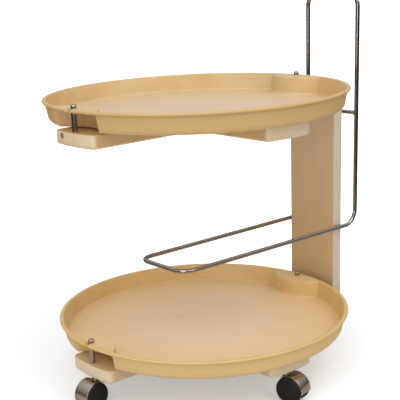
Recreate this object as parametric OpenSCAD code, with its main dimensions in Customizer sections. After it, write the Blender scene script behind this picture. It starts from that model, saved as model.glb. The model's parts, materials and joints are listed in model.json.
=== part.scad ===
// Two-level serving table on casters: two lift-off round trays on cross-shaped
// supports, one side column and a bent wire rod that makes the push handle and the rack.
// Millimetres. X runs from the trays to the column, Z is up, and the floor is at Z = 0.

/* [Trays] */
// Outer radius of a tray over its rim
tray_r = 260; // [230:1:290]
// Depth of a tray from the rim plane to its underside
tray_depth = 34.5; // [28:0.5:40]
// Thickness of the floor and the wall of a tray
tray_wall = 3; // [2:0.5:4]
// Thickness of the rim and of the pin shelves
rim_t = 4.6; // [3.5:0.1:6]
// How far the rim stands out from the wall
rim_lip = 5; // [4:0.5:8]
// Draft of the tray wall in degrees
wall_draft = 10; // [4:1:14]
// Outer radius of the corner between wall and floor
corner_r = 9; // [6:0.5:12]
// Radius of the hand-hold arc, measured inside the tray at the rim plane
hold_r = 71; // [60:0.5:76]
// How far the hand-hold arc's centre lies outside the rim
hold_out = 26; // [20:1:34]

/* [Supports] */
// Half width of the arms that run along X
arm_x_half = 54; // [44:1:55]
// Half width of the arms that run along Y
arm_y_half = 48.5; // [40:0.5:56]
// How far the long arm ends inside the rim
arm_x_inset = 3; // [2:0.5:10]
// How far the two side arms end inside the rim
arm_y_inset = 33; // [15:1:36]
// Thickness of a support moulding
arm_t = 22.6; // [20:0.1:30]
// Wall of a support moulding around its hollow
arm_wall = 6.5; // [5.5:0.5:9]
// Skin over the hollow of a support moulding
arm_skin = 4; // [3:0.5:6]
// Radius of the lower edges of the arms
arm_edge_r = 4.5; // [2:0.5:5]
// Radius of the upper edges of the arms
arm_top_r = 2; // [1:0.5:3]
// Radius of the upright corners at the arm ends
arm_corner_r = 12; // [7:1:12]
// Radius of the inside corners between two arms
arm_fillet_r = 20; // [10:1:30]
// Thickness of the closing plate under a support
cover_t = 3; // [2:0.5:4]
// Distance of the resting pads inside the rim
pad_inset = 70; // [60:1:90]
// Radius of a resting pad
pad_r = 10; // [6:1:14]

/* [Levels] */
// Height of the lower support's underside above the floor
base_z = 55.4; // [54.5:0.1:80]
// Height between the undersides of the two supports
level_gap = 389.5; // [340:0.5:460]
// Air between the top of an arm and the tray underside
tray_air = 2; // [1:0.5:5]

/* [Locating pins] */
// Diameter of a pin
pin_d = 9.5; // [8:0.5:11]
// Distance of a pin inside the rim
pin_inset = 12.7; // [12:0.1:22]
// Height of a pin above the rim plane
pin_proud = 6.8; // [4:0.1:12]
// Radius of the round corners where the pin notch meets the rim
notch_mouth_r = 3.5; // [1:0.5:6]
// Depth of a pin's seat in the arm
pin_seat = 6.5; // [5:0.5:6.5]

/* [Column] */
// Air between the tray rim and the column's inner face
column_gap = 28.7; // [20:0.1:40]
// Depth of the column along X
column_t = 21.5; // [18:0.5:26]
// Half width of the column
column_half = 56; // [56:0.5:64]
// Sheet thickness of the column and its back panel
column_wall = 3; // [2:0.5:4]
// Radius of the column's upright edges
column_edge_r = 2.5; // [1:0.5:3]

/* [Wire rod] */
// Diameter of the wire rod
rod_d = 8; // [6:0.5:10]
// Distance of the upright rods behind the column's back
rod_gap = 34.9; // [20:0.1:45]
// Height of the centre of the handle bar above the upper rim plane
handle_rise = 143; // [90:1:260]
// Bend radius of the handle corners
handle_bend = 27; // [20:1:40]
// Height of the rack rods above the lower tray's rim plane
rack_rise = 97.7; // [97:0.1:130]
// Distance of the rack's end rod from the tray axis, away from the column
rack_end = 91.5; // [60:0.5:160]
// Bend radius where the upright rods turn into the rack
rack_bend = 28; // [20:1:32]
// Bend radius of the corners at the rack's end rod
rack_corner = 25; // [18:1:40]
// Diameter of the welded cross rod behind the column
cross_rod_d = 7.5; // [5:0.5:8]
// Depth of the cross rod below the column's top
cross_rod_drop = 41; // [32:1:90]

/* [Casters] */
// Radius of a caster wheel
wheel_r = 23.5; // [17:0.5:23.5]
// Width of one wheel
wheel_w = 10; // [8:0.5:14]
// Width of the caster body between its two wheels
core_w = 13; // [13:0.5:18]
// Distance from the swivel axis to the wheel axle
caster_trail = 12.5; // [12:0.5:20]
// Sheet thickness of the caster hood
hood_t = 1.2; // [1:0.1:2]
// Width of the caster hood across both wheels
hood_w = 30.5; // [28:0.5:36]
// Diameter of the wheel axle
axle_d = 6; // [4:0.5:8]
// Diameter of the stem inside the caster body
stem_d = 8; // [6:0.5:9]
// Diameter of the stem inside its socket
stem_top_d = 11; // [9:0.5:12]
// Distance of the side casters inside the rim
caster_inset = 51; // [50:1:60]

/* [Clearances] */
// Gap between pieces that are only near each other
near_gap = 0.3; // [0.2:0.05:0.5]
// Radial play of a turning fit
run_gap = 0.05; // [0.03:0.01:0.08]
// Radial play of a screw, pin or sleeve in its hole
fit_gap = 0.1; // [0.05:0.05:0.2]
// Radial play of a locating pin in the tray's hole
pin_gap = 0.5; // [0.4:0.1:1]

/* [Hidden] */

$fn = 96;
eps = 0.01;          // overshoot of a cutting tool
far = 1000;          // longer than any cut

// Heights
top_z = base_z + level_gap;
lower_rim_z = base_z + arm_t + tray_air + tray_depth;
upper_rim_z = lower_rim_z + level_gap;
column_top = top_z + arm_t;
rod_r = rod_d / 2;
rack_z = lower_rim_z + rack_rise;
handle_z = upper_rim_z + handle_rise;
cross_rod_z = column_top - cross_rod_drop;
rod_side_gap = 1;                 // air between a rack rod and the column's side
rod_y = column_half + rod_side_gap + rod_r;

// Distances from the tray axis
pin_x = tray_r - pin_inset;
hold_x = tray_r + hold_out;
arm_x_end = tray_r - arm_x_inset;
arm_y_end = tray_r - arm_y_inset;
pad_dist = tray_r - pad_inset;
post_dist = tray_r / 2;
side_caster = tray_r - caster_inset;
boss_r = 12;
socket_boss_r = 9.3;
end_caster = arm_x_end - arm_edge_r - socket_boss_r - 0.2;
column_x = tray_r + column_gap;
rod_x = column_x + column_t + rod_gap;

// Tray section
wall_top_r = tray_r - rim_lip;
inner_corner_r = corner_r - tray_wall;
inner_edge_r = 2;
arc_steps = 8;
wall_slope = tan(wall_draft);
wall_lean = cos(wall_draft);
hold_wall_r = hold_r - tray_wall;
hold_draft = 3;                     // extra radius of the hand-hold at the floor
collar_wall = 2.8;
collar_r = pin_d / 2 + pin_gap + collar_wall;
collar_h = 3;

// Support mouldings
cover_lift = 0.5;                   // plate set back from the lower edge
post_r = 5;
screw_r = 1.75;
screw_head_r = 3.5;
screw_head_h = 1.8;
screw_len = 9;

// Column fastenings
joint_screw_r = 1.9;
joint_head_r = 3.5;
joint_head_h = 2;
joint_screw_y = 30;
joint_screw_len = 8;
back_screw_y = 42;
back_screw_inset = 60;
back_screw_zs = [base_z + back_screw_inset, (base_z + top_z) / 2, top_z - back_screw_inset];

// Brackets that carry the cross rod
bracket_y = 13;
bracket_w = 12;
bracket_h = 12;
bracket_flange_h = 36;
bracket_flange_t = 3;
bracket_ring = 3;
bracket_mouth = cross_rod_d * 0.8;
bracket_setback = 0.6;              // the clip's lips end short of the upright rods' back
bracket_screw_z = 12.5;

// Saddles that carry the rack rods beside the column
saddle_w = 10;
saddle_half_h = 3.8;
saddle_reach = 2.5;                 // how near the saddle comes to the rod's centre
saddle_screw_r = 1.25;
saddle_head_r = 3;
saddle_head_h = 1.4;
saddle_bite = 4.5;                  // how far the screw goes into the rod

// Plug in the end face of the upper support
plug_r = 4.2;
plug_y = 25;
plug_h = 1;
plug_depth = 4;
plug_rise = 16;

// Casters: hood radius, sockets and stems
hood_in_r = wheel_r + 0.8;
hood_r = hood_in_r + hood_t;
hood_from = 76;                     // hood edge in front of the stem, degrees from the leading side
hood_to = 208;                      // hood edge behind the wheels
wheel_gap = 0.5;
wheel_edge_r = 2.5;
wheel_dish = 1.2;
wheel_cap = 1.5;                    // plastic over the axle's end
bore_depth = wheel_w - wheel_dish - wheel_cap;
socket_wall = 1.9;
socket_len = 14;
stem_len = 13;
stem_collar_r = 8;
stem_collar_h = 1.6;
neck_top = base_z - stem_collar_h - near_gap;
neck_low = wheel_r - 2;
stem_foot = wheel_r + 1.5;
casters = [
    ["left",  [-end_caster, 0], 189],
    ["right", [end_caster, 0], 350],
    ["front", [0, -side_caster], 284],
    ["rear",  [0, side_caster], 95]
];

// The origin stands under the middle of the table's overall length
left_turn = casters[0][2];
reach_left = end_caster - caster_trail * cos(left_turn) + hood_r * abs(cos(left_turn))
    + hood_w / 2 * abs(sin(left_turn));
mid_x = (rod_x + rod_r - reach_left) / 2;

function arc(c, r, a0, a1, n = arc_steps) =
    [for (i = [0 : n]) c + r * [cos(a0 + (a1 - a0) * i / n), sin(a0 + (a1 - a0) * i / n)]];
function wall_out(z) = wall_top_r + (z + rim_t) * wall_slope;
function wall_in(z) = wall_out(z) - tray_wall / wall_lean;

module placed() {
    translate([-mid_x, 0, 0]) children();
}

// ---------------------------------------------------------------- trays

// Outline of the tray's outside: floor, drafted wall and rounded lip
function tray_outside() = concat(
    [[0, -tray_depth]],
    arc([wall_out(corner_r - tray_depth) - corner_r / wall_lean, corner_r - tray_depth],
        corner_r, -90, -wall_draft),
    [[wall_out(-rim_t), -rim_t]],
    arc([tray_r - rim_t / 2, -rim_t / 2], rim_t / 2, -90, 90)
);

// Outline of the tray's inside, from the rim down to the floor
function tray_inside() = concat(
    arc([wall_in(-inner_edge_r) + inner_edge_r / wall_lean, -inner_edge_r],
        inner_edge_r, 90, 180 - wall_draft, 4),
    arc([wall_in(inner_corner_r - tray_depth + tray_wall) - inner_corner_r / wall_lean,
         inner_corner_r - tray_depth + tray_wall], inner_corner_r, -wall_draft, -90),
    [[0, tray_wall - tray_depth]]
);

module tray_shell() {
    rotate_extrude($fn = 192) polygon(concat(tray_outside(), tray_inside()));
}

module tray_filled() {
    rotate_extrude($fn = 192) polygon(concat(tray_outside(), [[0, 0]]));
}

// Upright drafted cylinder of a hand-hold, from the underside to the height given
module hold_form(top_radius, top) {
    translate([hold_x, 0, -tray_depth - eps])
        cylinder(h = tray_depth + eps + top, r1 = top_radius + hold_draft, r2 = top_radius);
}

module hold_boss(side) {
    mirror([side < 0 ? 1 : 0, 0, 0]) intersection() {
        tray_filled();
        hold_form(hold_r, eps);
    }
}

module hold_pocket(side) {
    mirror([side < 0 ? 1 : 0, 0, 0]) hold_form(hold_wall_r, -rim_t);
}

module pin_collar(side) {
    translate([side * pin_x, 0, -rim_t - collar_h])
        cylinder(h = collar_h + eps, r = collar_r, $fn = 48);
}

module pin_opening(side) {
    r = pin_d / 2 + pin_gap;
    translate([side * pin_x, 0, -rim_t - collar_h - eps]) {
        cylinder(h = rim_t + collar_h + 2 * eps, r = r, $fn = 48);
        if (side < 0) {
            translate([-far, -r, 0]) cube([far, 2 * r, rim_t + collar_h + 2 * eps]);
            linear_extrude(height = rim_t + collar_h + 2 * eps)
                translate([pin_x - tray_r + notch_mouth_r, 0]) notch_mouth(r);
        }
    }
}

// Widening of the notch at the rim, whose corners are round; the rim's edge is at -notch_mouth_r
module notch_mouth(half) {
    difference() {
        translate([-far, -half - notch_mouth_r]) square([far, 2 * (half + notch_mouth_r)]);
        for (side = [-1, 1]) translate([0, side * (half + notch_mouth_r)])
            circle(r = notch_mouth_r, $fn = 48);
    }
}

module tray() {
    difference() {
        union() {
            difference() {
                union() {
                    tray_shell();
                    hold_boss(1);
                    hold_boss(-1);
                }
                hold_pocket(1);
                hold_pocket(-1);
            }
            pin_collar(1);
            pin_collar(-1);
        }
        pin_opening(1);
        pin_opening(-1);
    }
}

module lower_tray() {
    color("#c9a566") placed() translate([0, 0, lower_rim_z]) tray();
}

module upper_tray() {
    color("#c9a566") placed() translate([0, 0, upper_rim_z]) tray();
}

// ---------------------------------------------------------------- supports

// Section across an arm: rounded lower and upper edges, widths from the centre line
function arm_section(half) = concat(
    arc([half - arm_edge_r, arm_edge_r], arm_edge_r, -90, 0),
    arc([half - arm_top_r, arm_t - arm_top_r], arm_top_r, 0, 90, 4),
    arc([-half + arm_top_r, arm_t - arm_top_r], arm_top_r, 90, 180, 4),
    arc([-half + arm_edge_r, arm_edge_r], arm_edge_r, 180, 270)
);

// Straight bar along +X with the rounded section
module arm_bar(half, length) {
    rotate([90, 0, 90]) linear_extrude(height = length) polygon(arm_section(half));
}

// Disc that gives the arm its curved end, with the same rounded edges
module end_disc(radius) {
    rotate_extrude($fn = 192) polygon(concat(
        [[0, 0]],
        arc([radius - arm_edge_r, arm_edge_r], arm_edge_r, -90, 0),
        arc([radius - arm_top_r, arm_t - arm_top_r], arm_top_r, 0, 90, 4),
        [[0, arm_t]]
    ));
}

// Plan of an arm whose curved end meets its sides in round corners
module arm_plan(half, radius, corner) {
    turn_x = sqrt(pow(radius - corner, 2) - pow(half - corner, 2));
    turn_a = atan2(half - corner, turn_x);
    translate([0, -half]) square([turn_x, 2 * half]);
    for (side = [-1, 1]) translate([turn_x, side * (half - corner)]) circle(r = corner, $fn = 48);
    intersection() {
        circle(r = radius, $fn = 192);
        polygon([[0, 0], [far * cos(turn_a), -far * sin(turn_a)], [far * cos(turn_a), far * sin(turn_a)]]);
    }
}

module free_arm(half, radius) {
    intersection() {
        arm_bar(half, radius + arm_wall);
        end_disc(radius);
        linear_extrude(height = arm_t) arm_plan(half, radius, arm_corner_r);
    }
}

// Plan of the hollow, or of the plate that closes it, drawn in from the outline
module hollow_plan(inset) {
    corner = arm_corner_r - arm_wall;
    rotate(180) arm_plan(arm_x_half - inset, arm_x_end - inset, corner);
    rotate(90) arm_plan(arm_y_half - inset, arm_y_end - inset, corner);
    rotate(270) arm_plan(arm_y_half - inset, arm_y_end - inset, corner);
    translate([0, -arm_x_half + inset]) square([column_x - inset, 2 * (arm_x_half - inset)]);
}

module corner_webs() {
    for (sx = [-1, 1]) for (sy = [-1, 1]) {
        translate([sx * arm_y_half, sy * arm_x_half]) difference() {
            translate([sx * arm_fillet_r / 2, sy * arm_fillet_r / 2])
                square(arm_fillet_r + 2 * eps, center = true);
            translate([sx * arm_fillet_r, sy * arm_fillet_r]) circle(r = arm_fillet_r, $fn = 64);
        }
    }
}

// Places of the cover's screws, one on each arm
module at_posts() {
    for (a = [0, 90, 180, 270]) rotate(a) translate([post_dist, 0, 0]) children();
}

module at_pins() {
    for (side = [-1, 1]) translate([side * pin_x, 0, 0]) children();
}

module at_casters() {
    for (c = casters) translate([c[1][0], c[1][1], 0]) children();
}

// Screw that stands upright, head down, with its head's lower face at Z = 0
module upright_screw(shank_r, head_r, head_h, length) {
    cylinder(h = head_h, r = head_r, $fn = 32);
    translate([0, 0, head_h - eps]) cylinder(h = length + eps, r = shank_r, $fn = 24);
}

// Hollow moulding with posts, pin seats and raised pads; its underside is at Z = 0
module cross_moulding() {
    difference() {
        union() {
            difference() {
                union() {
                    arm_bar(arm_x_half, column_x);
                    rotate(180) free_arm(arm_x_half, arm_x_end);
                    rotate(90) free_arm(arm_y_half, arm_y_end);
                    rotate(270) free_arm(arm_y_half, arm_y_end);
                    translate([0, 0, arm_edge_r])
                        linear_extrude(height = arm_t - arm_edge_r - arm_top_r) corner_webs();
                }
                translate([0, 0, -eps])
                    linear_extrude(height = arm_t - arm_skin + eps) hollow_plan(arm_wall);
            }
            at_posts() translate([0, 0, cover_lift + cover_t])
                cylinder(h = arm_t - arm_skin - cover_lift - cover_t + eps, r = post_r, $fn = 32);
            intersection() {
                at_pins() translate([0, 0, cover_lift + cover_t])
                    cylinder(h = arm_t - arm_skin - cover_lift - cover_t + eps, r = boss_r, $fn = 48);
                translate([-arm_x_end + arm_wall / 2, -arm_x_half, 0]) cube([far, 2 * arm_x_half, arm_t]);
            }
            for (a = [0, 90, 180, 270]) rotate(a) translate([pad_dist, 0, arm_t - eps])
                cylinder(h = tray_air - near_gap + eps, r = pad_r, $fn = 48);
        }
        at_pins() translate([0, 0, arm_t - pin_seat])
            cylinder(h = pin_seat + 1, r = pin_d / 2 + fit_gap, $fn = 48);
        at_posts() translate([0, 0, cover_lift])
            cylinder(h = screw_head_h + screw_len + 1, r = screw_r + fit_gap, $fn = 24);
        for (side = [-1, 1]) for (level = joint_levels())
            translate([column_x - arm_wall - 1, side * joint_screw_y, level]) rotate([0, 90, 0])
                cylinder(h = arm_wall + 2, r = joint_screw_r + fit_gap, $fn = 24);
    }
}

function joint_levels() =
    let (edge = column_wall + joint_head_r + near_gap) [edge, arm_t - edge];

module cover_plate() {
    difference() {
        translate([0, 0, cover_lift]) linear_extrude(height = cover_t) hollow_plan(arm_wall + near_gap);
        at_posts() translate([0, 0, cover_lift - eps]) {
            cylinder(h = cover_t + 2 * eps, r = screw_r + fit_gap, $fn = 24);
            cylinder(h = screw_head_h + eps, r = screw_head_r + fit_gap, $fn = 32);
        }
    }
}

module base_cross() {
    color("#ded0b4") placed() translate([0, 0, base_z]) difference() {
        union() {
            cross_moulding();
            at_casters() cylinder(h = arm_t - arm_skin + eps, r = socket_boss_r, $fn = 48);
        }
        at_casters() translate([0, 0, -eps])
            cylinder(h = socket_len + eps, r = stem_top_d / 2 + fit_gap + socket_wall + fit_gap, $fn = 48);
        at_pins() translate([0, 0, arm_t - pin_seat])
            cylinder(h = pin_seat + 1, r = pin_d / 2 + fit_gap, $fn = 48);
    }
}

module base_cover() {
    color("#cfc2a6") placed() translate([0, 0, base_z]) difference() {
        cover_plate();
        at_casters() translate([0, 0, -eps]) cylinder(h = arm_t, r = socket_boss_r + near_gap, $fn = 48);
    }
}

module base_cover_screws() {
    color("#8c8c8c") placed() translate([0, 0, base_z + cover_lift])
        at_posts() upright_screw(screw_r, screw_head_r, screw_head_h, screw_len);
}

module top_cross() {
    color("#ded0b4") placed() translate([0, 0, top_z]) difference() {
        cross_moulding();
        translate([-arm_x_end - plug_h, plug_y, plug_rise]) rotate([0, 90, 0])
            cylinder(h = plug_h + plug_depth, r = plug_r - plug_h + fit_gap, $fn = 32);
    }
}

module top_cover() {
    color("#cfc2a6") placed() translate([0, 0, top_z]) cover_plate();
}

module top_cover_screws() {
    color("#8c8c8c") placed() translate([0, 0, top_z + cover_lift])
        at_posts() upright_screw(screw_r, screw_head_r, screw_head_h, screw_len);
}

// Round plug in the curved end face of the upper support's long arm
module hole_plug() {
    face_x = sqrt(pow(arm_x_end, 2) - pow(plug_y - plug_r, 2));
    color("#7a5636") placed() translate([-face_x, plug_y, top_z + plug_rise]) rotate([0, 90, 0]) {
        translate([0, 0, -plug_h]) cylinder(h = plug_h, r = plug_r, $fn = 48);
        translate([0, 0, -eps]) cylinder(h = plug_depth - 1, r = plug_r - plug_h, $fn = 32);
    }
}

// ---------------------------------------------------------------- locating pins

// Round bar with a domed head, standing on Z = 0
module locating_pin(height) {
    head = pin_d / 4;
    rotate_extrude($fn = 48) polygon(concat(
        [[0, 0], [pin_d / 2, 0]],
        arc([pin_d / 2 - head, height - head], head, 0, 90),
        [[0, height]]
    ));
}

module pin_pair(support_z) {
    color("silver") placed() at_pins() translate([0, 0, support_z + arm_t - pin_seat])
        locating_pin(pin_seat + tray_air + tray_depth + pin_proud);
}

module lower_pins() {
    pin_pair(base_z);
}

module upper_pins() {
    pin_pair(top_z);
}

// ---------------------------------------------------------------- column

// Plan of the column: a shallow box with rounded upright edges, open at the back
module column_plan() {
    translate([column_x, -column_half + column_edge_r]) square([column_t, 2 * (column_half - column_edge_r)]);
    translate([column_x + column_edge_r, -column_half]) square([column_t - column_edge_r, 2 * column_half]);
    for (side = [-1, 1]) translate([column_x + column_edge_r, side * (column_half - column_edge_r)])
        circle(r = column_edge_r, $fn = 48);
}

module at_joint_screws() {
    for (level = [base_z, top_z]) for (side = [-1, 1]) for (h = joint_levels())
        translate([column_x, side * joint_screw_y, level + h]) children();
}

module at_back_screws() {
    for (h = back_screw_zs) for (side = [-1, 1])
        translate([column_x + column_t, side * back_screw_y, h]) children();
}

// Places of the screws that hold the rack rods, on the inner faces of the column's sides
module at_saddle_screws() {
    for (side = [-1, 1])
        translate([column_x + column_t / 2, side * (column_half - column_wall), rack_z])
            rotate([side > 0 ? -90 : 90, 0, 0]) children();
}

module column() {
    inner_half = column_half - column_wall;
    post_len = column_t - 2 * column_wall;
    color("#d9c8a8") placed() difference() {
        union() {
            difference() {
                translate([0, 0, base_z]) linear_extrude(height = column_top - base_z) column_plan();
                translate([column_x + column_wall, -inner_half, base_z + column_wall])
                    cube([column_t, 2 * inner_half, column_top - base_z - 2 * column_wall]);
            }
            at_back_screws() translate([-column_wall - post_len - eps, 0, 0]) rotate([0, 90, 0])
                cylinder(h = post_len + eps, r = post_r, $fn = 32);
        }
        at_joint_screws() translate([-1, 0, 0]) rotate([0, 90, 0])
            cylinder(h = column_wall + 2, r = joint_screw_r + fit_gap, $fn = 24);
        at_back_screws() translate([-screw_len - 1, 0, 0]) rotate([0, 90, 0])
            cylinder(h = screw_len + 2, r = screw_r + fit_gap, $fn = 24);
        at_saddle_screws() translate([0, 0, -1])
            cylinder(h = column_wall + 2, r = saddle_screw_r + fit_gap, $fn = 24);
    }
}

// Screw lying along -X whose head's outer face is at X = 0
module back_facing_screw(shank_r, head_r, head_h, length) {
    rotate([0, -90, 0]) upright_screw(shank_r, head_r, head_h, length);
}

module at_bracket_screws() {
    for (side = [-1, 1]) for (h = [-bracket_screw_z, bracket_screw_z])
        translate([column_x + column_t + bracket_flange_t, side * bracket_y, cross_rod_z + h]) children();
}

module column_back() {
    panel_half = column_half - column_wall - near_gap;
    low = base_z + column_wall + near_gap;
    color("#cdbd9e") placed() difference() {
        translate([column_x + column_t - column_wall, -panel_half, low])
            cube([column_wall, 2 * panel_half, column_top - column_wall - near_gap - low]);
        at_back_screws() rotate([0, -90, 0]) {
            translate([0, 0, -1]) cylinder(h = column_wall + 2, r = screw_r + fit_gap, $fn = 24);
            translate([0, 0, -1]) cylinder(h = screw_head_h + 1, r = screw_head_r + fit_gap, $fn = 32);
        }
        at_bracket_screws() translate([-column_wall - bracket_flange_t - 1, 0, 0]) rotate([0, 90, 0])
            cylinder(h = column_wall + bracket_flange_t + 2, r = screw_r + fit_gap, $fn = 24);
    }
}

module column_screws() {
    color("#8c8c8c") placed() at_joint_screws()
        translate([column_wall + joint_head_h, 0, 0])
            back_facing_screw(joint_screw_r, joint_head_r, joint_head_h, joint_screw_len);
}

module back_screws() {
    color("#8c8c8c") placed() at_back_screws()
        back_facing_screw(screw_r, screw_head_r, screw_head_h, screw_len - screw_head_h);
}

// ---------------------------------------------------------------- wire rod

// Straight piece of round rod from one point to another, along one axis
module rod_x_run(x0, x1, y, z) {
    translate([x0, y, z]) rotate([0, 90, 0]) cylinder(h = x1 - x0, r = rod_r, $fn = 48);
}

module rod_y_run(x, y0, y1, z, r) {
    translate([x, y0, z]) rotate([-90, 0, 0]) cylinder(h = y1 - y0, r = r, $fn = 48);
}

// Quarter bend in the XY plane about the origin, from +X to +Y
module quarter_bend(bend) {
    rotate_extrude(angle = 90, $fn = 96) translate([bend, 0]) circle(r = rod_r, $fn = 48);
}

module wire_half() {
    run_low = rack_z + rack_bend;
    run_high = handle_z - handle_bend;
    translate([rod_x, rod_y, run_low]) cylinder(h = run_high - run_low, r = rod_r, $fn = 48);
    translate([rod_x, rod_y - handle_bend, run_high]) rotate([90, 0, 90]) quarter_bend(handle_bend);
    translate([rod_x - rack_bend, rod_y, run_low]) rotate([-90, 0, 0]) quarter_bend(rack_bend);
    rod_x_run(rack_corner - rack_end, rod_x - rack_bend, rod_y, rack_z);
    translate([rack_corner - rack_end, rod_y - rack_corner, rack_z]) rotate(90) quarter_bend(rack_corner);
}

module wire_frame() {
    color("silver") placed() difference() {
        union() {
            wire_half();
            mirror([0, 1, 0]) wire_half();
            rod_y_run(rod_x, handle_bend - rod_y, rod_y - handle_bend, handle_z, rod_r);
            rod_y_run(-rack_end, rack_corner - rod_y, rod_y - rack_corner, rack_z, rod_r);
            rod_y_run(rod_x, -rod_y, rod_y, cross_rod_z, cross_rod_d / 2);
        }
        at_saddle_screws() translate([0, 0, column_wall])
            cylinder(h = rod_side_gap + saddle_bite + 0.5, r = saddle_screw_r + fit_gap, $fn = 24);
    }
}

// Bracket that snaps over the cross rod, open towards the back
module bar_bracket() {
    bore = cross_rod_d / 2 + fit_gap;
    ring_r = bore + bracket_ring;
    back = column_x + column_t;
    rotate([90, 0, 0]) translate([0, 0, -bracket_w / 2]) linear_extrude(height = bracket_w) difference() {
        union() {
            translate([back, -bracket_flange_h / 2]) square([bracket_flange_t, bracket_flange_h]);
            translate([back, -bracket_h / 2]) square([rod_x - back, bracket_h]);
            translate([rod_x, 0]) circle(r = ring_r, $fn = 64);
        }
        translate([rod_x, 0]) circle(r = bore, $fn = 48);
        translate([rod_x, -bracket_mouth / 2]) square([far, bracket_mouth]);
        translate([rod_x + rod_r - bracket_setback, -far / 2]) square([far, far]);
    }
}

module bar_brackets() {
    color("#3a3a3a") placed() difference() {
        for (side = [-1, 1]) translate([0, side * bracket_y, cross_rod_z]) bar_bracket();
        at_bracket_screws() translate([-bracket_flange_t - 1, 0, 0]) rotate([0, 90, 0])
            cylinder(h = bracket_flange_t + 2, r = screw_r + fit_gap, $fn = 24);
    }
}

module bracket_screws() {
    color("#8c8c8c") placed() at_bracket_screws()
        translate([screw_head_h, 0, 0])
            back_facing_screw(screw_r, screw_head_r, screw_head_h, bracket_flange_t + column_wall + 1);
}

// Section of a saddle, drawn about the rod's centre and flat against the column at -X
module saddle_section() {
    difference() {
        translate([column_half - rod_y, -saddle_half_h])
            square([rod_y - column_half - saddle_reach, 2 * saddle_half_h]);
        circle(r = rod_r + fit_gap, $fn = 48);
    }
}

module rack_saddles() {
    color("silver") placed() difference() {
        for (side = [0, 1]) mirror([0, side, 0])
            translate([column_x + (column_t - saddle_w) / 2, rod_y, rack_z]) rotate([90, 0, 90])
                linear_extrude(height = saddle_w) saddle_section();
        at_saddle_screws() translate([0, 0, column_wall - 1])
            cylinder(h = rod_side_gap + rod_r, r = saddle_screw_r + fit_gap, $fn = 24);
    }
}

module saddle_screws() {
    color("#8c8c8c") placed() at_saddle_screws() translate([0, 0, -saddle_head_h])
        upright_screw(saddle_screw_r, saddle_head_r, saddle_head_h, column_wall + rod_side_gap + saddle_bite);
}

// ---------------------------------------------------------------- casters

module caster_sockets() {
    bore = stem_top_d / 2 + fit_gap;
    color("#5a5a58") placed() translate([0, 0, base_z]) at_casters() difference() {
        cylinder(h = socket_len, r = bore + socket_wall, $fn = 48);
        translate([0, 0, -eps]) cylinder(h = socket_len + 2 * eps, r = bore, $fn = 48);
    }
}

// Places a caster piece: the swivel axis is at the arm and +X points to the leading side
module caster_at(index) {
    place = casters[index][1];
    placed() translate([place[0], place[1], 0]) rotate(casters[index][2] + 180) children();
}

module caster_stem(index) {
    color("silver") caster_at(index) {
        translate([0, 0, stem_foot])
            cylinder(h = base_z - stem_collar_h - stem_foot + eps, r = stem_d / 2, $fn = 48);
        translate([0, 0, base_z - stem_collar_h]) cylinder(h = stem_collar_h, r = stem_collar_r, $fn = 48);
        translate([0, 0, base_z - eps]) cylinder(h = stem_len, r = stem_top_d / 2, $fn = 48);
    }
}

// Hood over both wheels: a part ring about the axle, which lies along Y
module hood_arc() {
    translate([-caster_trail, 0, wheel_r]) rotate([90, 0, 0]) rotate(hood_from)
        rotate_extrude(angle = hood_to - hood_from, $fn = 96)
            translate([hood_in_r, -hood_w / 2]) square([hood_t, hood_w]);
}

// Web between the wheels that carries the hood, the axle and the stem
module caster_core() {
    translate([-caster_trail, core_w / 2, wheel_r]) rotate([90, 0, 0]) linear_extrude(height = core_w) {
        intersection() {
            circle(r = hood_in_r + eps, $fn = 96);
            polygon([
                [0, -axle_d * 1.2],
                [caster_trail, neck_low - wheel_r],
                far * [cos(hood_from), sin(hood_from)],
                [0, far],
                [-far, far],
                far * [cos(hood_to), sin(hood_to)]
            ]);
        }
        circle(r = axle_d * 1.2, $fn = 48);
    }
    translate([0, 0, neck_low]) cylinder(h = neck_top - neck_low, r = core_w / 2, $fn = 48);
}

module caster_housing(index) {
    color("#b8b8b8") caster_at(index) difference() {
        union() {
            hood_arc();
            caster_core();
        }
        translate([0, 0, stem_foot - near_gap]) cylinder(h = far, r = stem_d / 2 + run_gap, $fn = 48);
        translate([-caster_trail, far / 2, wheel_r]) rotate([90, 0, 0])
            cylinder(h = far, r = axle_d / 2 + fit_gap, $fn = 48);
    }
}

module caster_axle(index) {
    reach = core_w / 2 + wheel_gap + bore_depth - near_gap;
    color("silver") caster_at(index) translate([-caster_trail, reach, wheel_r]) rotate([90, 0, 0])
        cylinder(h = 2 * reach, r = axle_d / 2, $fn = 48);
}

// Wheel with rounded tread edges and a closed, dished outer face, turned about +Y
module wheel_profile() {
    bore = axle_d / 2 + run_gap;
    face = wheel_w - wheel_dish;
    rotate_extrude($fn = 96) polygon(concat(
        [[bore, 0], [wheel_r - wheel_edge_r, 0]],
        arc([wheel_r - wheel_edge_r, wheel_edge_r], wheel_edge_r, -90, 0, 6),
        arc([wheel_r - wheel_edge_r, wheel_w - wheel_edge_r], wheel_edge_r, 0, 90, 6),
        [[wheel_r - 2 * wheel_edge_r, face], [0, face], [0, bore_depth], [bore, bore_depth]]
    ));
}

module caster_wheel(index, side) {
    color("#1c1c1c") caster_at(index)
        translate([-caster_trail, side * (core_w / 2 + wheel_gap), wheel_r])
            rotate([side < 0 ? 90 : -90, 0, 0]) wheel_profile();
}

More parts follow.
